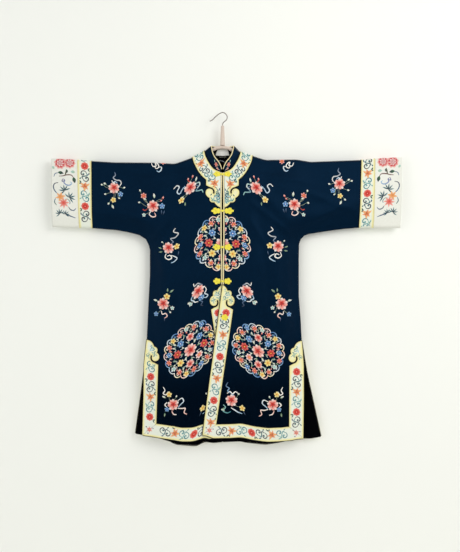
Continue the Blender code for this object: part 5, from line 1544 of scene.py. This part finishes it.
# The embroidery on the satin
# Sprays of peonies with smaller flowers, buds, leaves and curling ribbons stand in rows over the fronts, and
# round medallions on the chest and the skirt. The backs repeat them, since no photograph shows them.
PEONY = (ring_of(petal(22.0, 11.5, "coral", "white", 0.0008, start=5.0), 5)
         + ring_of(petal(20.5, 11.5, "rose", "pink", 0.0008, start=5.0, bend=0.12), 5, 34.0)
         + moved(ring_of(petal(14.5, 8.6, "coral", "pink", 0.0013, start=2.0), 5)
                 + ring_of(petal(13.5, 8.0, "coral", "rose", 0.0013, start=2.0, bend=-0.15), 4,
                           40.0), 0.6, 1.6)
         + moved(ring_of(petal(8.4, 5.6, "red", "coral", 0.0017), 5, 12.0)
                 + dot(2.6, "red", "red", 0.0021), 1.0, 2.6))
MOTIFS = {
    "peony": PEONY,
    "small_peony": moved(PEONY, size=0.80),
    "red": blossom(10.5, "coral", "pink", "yellow", 6),
    "big_red": blossom(17.0, "red", "rose", "yellow", 7),
    "big_blue": blossom(15.0, "blue", "sky", "white", 6, 0.7),
    "big_yellow": blossom(15.5, "yellow", "cream", "coral", 6, 0.7),
    "big_white": blossom(16.0, "rose", "white", "yellow", 7),
    "blue": blossom(10.0, "blue", "sky", "white", 5, 0.8),
    "yellow": blossom(10.5, "yellow", "cream", "coral", 5, 0.8),
    "white": blossom(9.0, "pale_teal", "white", "sage", 5, 0.8),
    "white_bud": petal(9.0, 7.0, "sage", "white", start=-3.0)
    + petal(4.0, 3.0, "green", "sage", 0.0011, start=-4.0),
    "red_bud": petal(9.0, 6.5, "coral", "pink", start=-3.0)
    + petal(4.0, 3.0, "brown", "coral", 0.0011, start=-4.0),
    "green_leaf": petal(15.0, 7.0, "green", "sage", sharp=1.1, bend=0.2, start=-4.0),
    "pale_leaf": petal(13.0, 8.0, "sage", "white", sharp=1.1, bend=-0.15, start=-4.0),
    "grey_leaf": petal(14.0, 4.0, "slate", "ink", sharp=1.1, bend=0.25, start=-4.0),
}
SPRAY_COLUMNS = ("left", "right", "parts", "ribbons")
SHOULDER_Z = -0.21
SPRAYS = [
    ((-0.4050, -0.2888), (0.4369, -0.2738),
     [("peony", 0, 6, 0, 1.0), ("blue", 25, -17, 0, 1.0), ("yellow", -2, -39, 20, 1.0),
      ("white_bud", -41, 15, 80, 1),
      ("white_bud", -30, 18, 60, 1.1), ("white_bud", -28, -17, 110, 1), ("white_bud", 34, 6, -70, 1.0),
      ("white_bud", -17, -50, 140, 1), ("white_bud", 16, -30, -120, 0.9), ("pale_leaf", -6, -60, 200, 1)],
     [("slate", "white", [(2, 66), (5, 54), (-3, 44), (8, 36), (22, 34), (27, 24), (22, 14)]),
      ("white", "sky", [(-8, 34), (-4, 26), (4, 30), (12, 24)])]),
    ((-0.2625, -0.3413), (0.2719, -0.3356),
     [("peony", 4, -10, 0, 1.05), ("red", -31, 28, 0, 1.1), ("white_bud", -43, 44, 20, 1),
      ("white_bud", -43, 4, 90, 1),
      ("blue", 38, -8, 0, 1.1), ("red_bud", 39, 19, -30, 1.1), ("red_bud", 31, 10, -60, 0.9),
      ("pale_leaf", 9, 24, 0, 1.1), ("white_bud", -22, 14, 60, 1), ("white", -30, -43, 0, 0.8),
      ("grey_leaf", 36, -26, 190, 1.0), ("grey_leaf", 46, -28, 170, 1.0)],
     [("white", "pink", [(-2, -28), (-10, -40), (2, -50), (14, -46), (10, -34)]),
      ("brown", "coral", [(-14, -18), (-26, -26), (-34, -22)])]),
    ((-0.2381, -0.2044), (0.2381, -0.2025),
     [("red", 16, 20, 0, 1.0), ("peony", -4, 62, 0, 0.95), ("green_leaf", -24, 48, 60, 1.0)],
     [("white", "white", [(-28, 14), (-22, 2), (-10, 4), (-14, 16), (-4, 12), (0, 0), (-10, -6), (-16, 4)]),
      ("white", "sky", [(0, 0), (10, 0), (8, -12), (0, -18), (-8, -14)])]),
    ((-0.1268, -0.2925), (0.1331, -0.2925),
     [("peony", 7, 6, 0, 1.1), ("red_bud", -1, 37, 0, 1.1), ("red_bud", 15, 41, -10, 1.1),
      ("pale_leaf", 28, 24, -20, 1),
      ("yellow", -26, -28, 0, 1.15), ("green_leaf", -12, -42, 190, 0.8), ("white_bud", -18, -16, 130, 0.9)],
     [("white", "sky", [(-55, 22), (-44, 32), (-34, 24), (-42, 8), (-32, -2), (-22, 12), (-12, 20)]),
      ("slate", "pale_teal", [(30, 4), (40, -4), (28, -14), (38, -20), (50, -24), (55, -36)]),
      ("pale_teal", "white", [(28, 12), (40, 10), (42, -2), (32, -6)]),
      ("brown", "coral", [(8, 10), (6, 26), (0, 36)])]),
    ((-0.1950, -0.5044), (0.2006, -0.4988),
     [("peony", -6, -3, 0, 1.0), ("yellow", 25, 1, 0, 1.1), ("green_leaf", -32, -6, 80, 0.8),
      ("green_leaf", -30, -18, 110, 0.8), ("grey_leaf", 32, -22, 180, 1.0), ("white_bud", -26, 16, 60, 0.8)],
     [("white", "slate", [(20, 70), (13, 58), (31, 48), (20, 36), (2, 32), (12, 20), (4, 14)]),
      ("white", "white", [(-14, -24), (-18, -38), (-6, -46), (6, -40), (0, -30), (-10, -34)]),
      ("white", "sky", [(4, -30), (16, -34), (26, -44), (14, -54), (4, -58)])]),
    ((-0.2194, -0.7200), (0.2194, -0.7200),
     [("peony", -1, 5, 0, 1.05), ("yellow", 13, 33, 0, 1.15), ("green_leaf", 26, 50, -40, 1.0),
      ("green_leaf", 16, 52, 10, 0.8), ("pale_leaf", -26, 16, 70, 1.0), ("white", 33, -9, 0, 0.85),
      ("blue", -28, -34, 0, 0.9), ("grey_leaf", 4, -48, 190, 0.9), ("white_bud", 22, -22, -130, 0.9)],
     [("white", "pink", [(-8, -22), (-4, -34), (8, -30), (14, -40), (4, -48)]),
      ("brown", "coral", [(4, 10), (8, 24), (12, 30)])]),
    ((-0.0881, -0.6788), (0.0881, -0.6788),
     [("peony", -3, 11, 0, 1.1), ("blue", 9, -17, 0, 1.15), ("white_bud", -32, -14, 110, 1.1),
      ("white", -30, -22, 0, 0.8)],
     [("white", "slate", [(-20, 50), (-16, 38), (-4, 42), (6, 34), (14, 28)]),
      ("white", "sky", [(20, 20), (28, 6), (22, -8), (34, -14), (26, -24), (14, -18)]),
      ("sky", "white", [(-22, 8), (-28, -6), (-20, -14), (-14, -22), (-2, -26)]),
      ("slate", "ink", [(6, -28), (14, -36), (8, -44), (16, -52)])]),
    ((-0.1781, -1.0856), (0.1819, -1.0856),
     [("peony", -5, -4, 0, 1.0), ("yellow", -20, 34, 0, 1.05), ("blue", -28, -22, 0, 0.9),
      ("green_leaf", -36, -38, 180, 0.8), ("pale_leaf", -36, 22, 60, 0.9), ("white_bud", 6, 22, -20, 0.9)],
     [("white", "white", [(-42, 60), (-36, 48), (-42, 36), (-30, 32), (-24, 44)]),
      ("white", "sky", [(12, 8), (28, 12), (34, -2), (22, -10), (14, -18)]),
      ("white", "pink", [(12, -20), (28, -26), (40, -30), (36, -44), (46, -54)]),
      ("white", "white", [(-28, 4), (-36, -6), (-28, -14)]),
      ("pink", "white", [(-10, -26), (-4, -38), (8, -42)])]),
    ((-0.0375, -1.0725), (0.0375, -1.0725),
     [("peony", 4, -1, 0, 1.05), ("yellow", -36, -27, 0, 1.1), ("green_leaf", 30, -30, -120, 1.0),
      ("pale_leaf", 32, -38, -80, 0.9), ("grey_leaf", -42, -40, -200, 0.9), ("white_bud", -20, 20, 40, 0.9)],
     [("slate", "sky", [(17, 66), (24, 52), (12, 44), (18, 34), (4, 26), (-4, 18)]),
      ("white", "white", [(20, 24), (10, 32), (0, 24), (-10, 32), (-20, 26)]),
      ("white", "sky", [(6, -28), (-8, -36), (-20, -44), (-36, -48)]),
      ("pale_teal", "teal", [(34, -18), (26, -28), (36, -40), (20, -48), (6, -42)])]),
]
MEDALLIONS = [("chest", 0.0, -0.4900, 0.94), ("skirt_left", -0.1200, -0.8869, 0.88),
              ("skirt_right", 0.1331, -0.8906, 0.88)]
MEDALLION_COLUMNS = ("reach", "first", "size", "kinds")
MEDALLION_RINGS = [
    (0.0, 0.0, 1.25, ["peony"]),
    (31.0, 12.0, 1.0, ["green_leaf", "pale_leaf", "green_leaf", "white_bud"] * 2),
    (56.0, 90.0, 1.0, ["small_peony", "big_blue", "big_red", "big_yellow", "small_peony",
                       "big_white", "big_red", "big_blue"]),
    (68.0, 112.0, 0.9, ["green_leaf", "pale_leaf"] * 4),
    (77.0, 101.0, 1.0, ["red_bud", "white_bud", "pale_leaf", "red_bud"] * 4),
    (92.0, 80.0, 1.15, ["red", "white", "red", "yellow", "red", "blue"] * 3),
    (84.0, 90.0, 0.75, ["green_leaf", "red_bud", "pale_leaf"] * 6),
]


def medallion():
    """A round medallion: rings of flowers, buds and leaves round a peony, in a scalloped edge of curls."""
    shapes = []
    for k in range(20):
        pair = (("white", "sky"), ("cream", "white"), ("white", "pink"), ("sky", "blue"))[k % 4]
        arch = stroke([(-16, -4), (-11, 4), (0, 8), (11, 4), (16, -4)], 4.2, *pair, taper=0.7)
        arch += moved(curl(5.4, 1.0, pair[1], pair[0], 3.2), 0.0, -2.0)
        turn = 18.0 * k + 4.0
        shapes += moved(arch, 103.0 * math.cos(math.radians(turn)), 103.0 * math.sin(math.radians(turn)),
                        turn - 90.0)
    for k in range(24):
        turn = 15.0 * k + 9.0
        reach = (40.0, 67.0, 80.0)[k % 3]
        bend = stroke([(0, -11), (6, -4), (-4, 4), (3, 12)], 3.0, ("slate", "teal", "sage")[k % 3], "white")
        shapes += moved(bend, reach * math.cos(math.radians(turn)),
                        reach * math.sin(math.radians(turn)), turn)
    for row in MEDALLION_RINGS:
        ring = dict(zip(MEDALLION_COLUMNS, row))
        for k, kind in enumerate(ring["kinds"]):
            turn = ring["first"] + 360.0 * k / len(ring["kinds"])
            out = ring["reach"] * (1.0 + 0.04 * math.sin(2.3 * k))
            shapes += moved(MOTIFS[kind], out * math.cos(math.radians(turn)),
                            out * math.sin(math.radians(turn)), turn - 90.0, ring["size"])
    return shapes


def spray(parts, ribbons):
    """A spray: its curling ribbons, stems from its peony to its other parts, and the parts."""
    shapes = [one for near, far, points in ribbons for one in stroke(points, 4.4, near, far, taper=0.55)]
    middle = next(((u, v) for kind, u, v, _, _ in parts if kind == "peony"), (0, 0))
    for kind, u, v, turn, size in parts:
        if kind != "peony" and "leaf" not in kind:
            bent = (0.5 * (u + middle[0]) - 0.15 * (v - middle[1]),
                    0.5 * (v + middle[1]) + 0.15 * (u - middle[0]))
            shapes += stroke([middle, bent, (u, v)], 1.5, "brown", "sage", rise=0.0004)
    for kind, u, v, turn, size in parts:
        shapes += moved(MOTIFS[kind], u, v, turn, size)
    return shapes


def satin_part(face):
    """The rule for stitches on the satin: on the panel, clear of its ribbons, its opening and the lap."""
    layer, side = face.split("_")
    panel = flat_outline(panel_outline(side, layer == "front"))
    edge = flat_outline(FRONT_EDGE[side])

    def rule(flat):
        """True for each flat point on open satin."""
        x, s = flat.T
        allowed = inside(flat, panel) | ((s < 0.01) & (np.abs(x) > 0.15) & (x * SIDES[side] > 0.0))
        for outline in ribbon_outlines[face]:
            allowed &= ~inside(flat, outline) & (distance_to_line(x, s,
                                                                  np.vstack([outline, outline[:1]])) > 0.0022)
        if layer == "front":
            allowed &= distance_to_line(x, s, edge) > 0.0055
        else:
            allowed &= np.abs(x) > 0.0008
        return allowed & ~under_the_lap(flat) if face == "front_left" else allowed
    return rule


for layer in ("front", "back"):
    for side, sign in SIDES.items():
        face, shapes = f"{layer}_{side}", []
        for row in SPRAYS:
            one = dict(zip(SPRAY_COLUMNS, row))
            if layer == "back" and one["left"][1] > SHOULDER_Z:
                continue
            x, z = one[side] if layer == "front" else (sign * 0.5 * (one["right"][0] - one["left"][0]),
                                                       one["left"][1])
            s = float(down_the_cloth(np.array([x]), np.array([z]))[0])
            shapes += placed(spray(one["parts"], one["ribbons"]), x, s, mirror=-sign)
        for name, x, z, size in MEDALLIONS:
            if name == "chest" or name.endswith(side):
                s = float(down_the_cloth(np.array([x]), np.array([z]))[0])
                shapes += placed(medallion(), x, s, size=size, mirror=-sign)
        embroider("satin_flowers_" + face, shapes, lambda x, s, h, face=face: on_cloth(face, x, s, h),
                  CLOTH_WALL, satin_part(face))

# The collar's embroidery and the stitches inside the neck
# Small pink and white blossoms with leaves near each front end of the collar, a few more round its back, and
# a short curved row of pale stitches inside the back of the neck, under the label.
collar_middle = 0.5 * (COLLAR_BASE + COLLAR_TOP)
collar_along = np.concatenate([[0.0], np.cumsum(np.linalg.norm(np.diff(collar_middle, axis=0), axis=1))])
COLLAR_SPRAY = (moved(blossom(7.5, "coral", "pink", "cream", 6), 9.0, 6.0)
                + moved(blossom(5.5, "pink", "white", "yellow", 5, 0.8), -9.0, -7.0)
                + moved(blossom(5.0, "rose", "white", "yellow", 5, 0.8), -1.0, -4.0)
                + stroke([(-12, -10), (-2, -1), (8, 3), (18, 10)], 1.4, "brown", "green")
                + moved(petal(9.0, 4.5, "sage", "pale_teal", sharp=1.1), 17.0, 9.0, -50.0)
                + moved(petal(7.0, 3.5, "green", "sage", sharp=1.1), 2.0, 6.0, 30.0))


def collar_place(x, s, height):
    """A place on the collar's outside: x along its middle from the left front end, s down
    from half its height."""
    i = np.interp(x, collar_along, np.arange(COLLAR_LAST + 1))
    tall = np.interp(i, np.arange(COLLAR_LAST + 1), np.linalg.norm(COLLAR_TOP - COLLAR_BASE, axis=1))
    return on_collar(i, 0.5 - s / tall, height)


def on_the_collar(flat):
    """Clear of the collar's ends, base and top."""
    end = collar_along[-1]
    i = np.interp(flat[:, 0], collar_along, np.arange(COLLAR_LAST + 1))
    tall = np.interp(i, np.arange(COLLAR_LAST + 1), np.linalg.norm(COLLAR_TOP - COLLAR_BASE, axis=1))
    return (flat[:, 0] > 0.004) & (flat[:, 0] < end - 0.004) & (np.abs(flat[:, 1]) < 0.5 * tall - 0.004)


shapes = placed(COLLAR_SPRAY, 0.020, 0.004) + placed(COLLAR_SPRAY, collar_along[-1] - 0.020, 0.004,
                                                     mirror=-1.0)
for share, mirror in ((0.36, 1.0), (0.64, -1.0)):
    shapes += placed(COLLAR_SPRAY, share * collar_along[-1], 0.0, mirror=mirror)
embroider("collar_flowers", shapes, collar_place, CLOTH_WALL, on_the_collar)


def inside_the_neck(x, s, height):
    """A place on the inner side of the back, a height in from it."""
    points, normals = on_cloth("back_right", x, s, -height)
    return points, -normals


row = smooth_path([(-0.0170, -0.0150), (-0.0060, -0.0125), (0.0060, -0.0175), (0.0180, -0.0260)], 3)
shapes = []
for (x, z), (next_x, next_z) in zip(row[:-1], row[1:]):
    s = [float(down_the_cloth(np.array([a]), np.array([b + NECK_BACK[-1][1]]))[0]) for a, b in
         ((x, z), (0.3 * x + 0.7 * next_x, 0.3 * z + 0.7 * next_z))]
    one = stitched(np.linspace((x, s[0]), (0.3 * x + 0.7 * next_x, s[1]), 5), 0.0011, "white", "sky", 0.0008)
    shapes += one
embroider("neck_stitches", shapes, inside_the_neck, 0.0002)


# The room and the light
# A pale wall that the hanger hangs on, a pale floor well below the hem, soft daylight from the upper right
# and the camera square on, as in the photograph.
WALL_Y = 0.030
FLOOR_Z = -1.90
VIEW_WIDTH = 1.725
VIEW_DISTANCE = 2.80


def plain_room_finish(name, colour, one_sided):
    """A matt paint. One that is one-sided is clear from behind, so that the robe's back can be looked at."""
    finish = bpy.data.materials.new(name)
    finish.use_nodes = True
    tree = finish.node_tree
    shader = tree.nodes["Principled BSDF"]
    shader.inputs["Base Color"].default_value = (*colour, 1.0)
    shader.inputs["Roughness"].default_value = 0.9
    shader.inputs["Specular IOR Level"].default_value = 0.1
    if one_sided:
        clear = tree.nodes.new("ShaderNodeBsdfTransparent")
        side = tree.nodes.new("ShaderNodeNewGeometry")
        mix = tree.nodes.new("ShaderNodeMixShader")
        tree.links.new(side.outputs["Backfacing"], mix.inputs[0])
        tree.links.new(shader.outputs[0], mix.inputs[1])
        tree.links.new(clear.outputs[0], mix.inputs[2])
        tree.links.new(mix.outputs[0], tree.nodes["Material Output"].inputs["Surface"])
    return finish


def room_plane(name, corners, finish):
    """A flat quad of the room, its corners in order round the side that it is seen from."""
    piece = new_piece(name, np.array(corners, float), np.array([[0, 1, 2, 3]]), [finish])
    return piece


wall = room_plane("pale_wall", [(-6.0, WALL_Y, FLOOR_Z), (6.0, WALL_Y, FLOOR_Z), (6.0, WALL_Y, 4.0),
                                (-6.0, WALL_Y, 4.0)],
                  plain_room_finish("pale_wall_paint", (0.85, 0.865, 0.83), True))
wall.visible_shadow = False
room_plane("pale_floor", [(-6.0, -6.0, FLOOR_Z), (6.0, -6.0, FLOOR_Z), (6.0, 6.0, FLOOR_Z),
                          (-6.0, 6.0, FLOOR_Z)],
           plain_room_finish("pale_floor_paint", (0.78, 0.77, 0.73), False))

world = bpy.data.worlds.new("soft_daylight")
bpy.context.scene.world = world
world.use_nodes = True
world.node_tree.nodes["Background"].inputs["Color"].default_value = (1.0, 0.99, 0.97, 1.0)
world.node_tree.nodes["Background"].inputs["Strength"].default_value = 0.70


def soft_light(name, place, aim, size, power, colour):
    """A square area light that looks at a point."""
    light = bpy.data.lights.new(name, "AREA")
    light.size = size
    light.energy = power
    light.color = colour
    lamp = bpy.data.objects.new(name, light)
    lamp.location = place
    lamp.rotation_euler = (Vector(aim) - Vector(place)).to_track_quat("-Z", "Y").to_euler()
    bpy.context.scene.collection.objects.link(lamp)


soft_light("window_right", (1.9, -2.3, 0.7), (0.0, 0.0, -0.6), 1.8, 42.0, (1.0, 0.99, 0.97))
soft_light("fill_left", (-2.2, -2.6, -0.2), (0.0, 0.0, -0.7), 2.2, 20.0, (0.96, 0.99, 1.0))
soft_light("behind", (0.4, 2.6, 0.8), (0.0, 0.0, -0.6), 2.0, 60.0, (1.0, 1.0, 1.0))

camera = bpy.data.cameras.new("view")
camera.sensor_fit = "HORIZONTAL"
camera.sensor_width = 36.0
camera.lens = 36.0 * VIEW_DISTANCE / VIEW_WIDTH
VIEW_MIDDLE_X = 0.0281
VIEW_MIDDLE_Z = -0.6113
camera_object = bpy.data.objects.new("view", camera)
camera_object.location = (VIEW_MIDDLE_X, -VIEW_DISTANCE, VIEW_MIDDLE_Z)
camera_object.rotation_euler = (math.radians(90.0), 0.0, 0.0)
bpy.context.scene.collection.objects.link(camera_object)
bpy.context.scene.camera = camera_object
bpy.context.scene.view_settings.view_transform = "Standard"
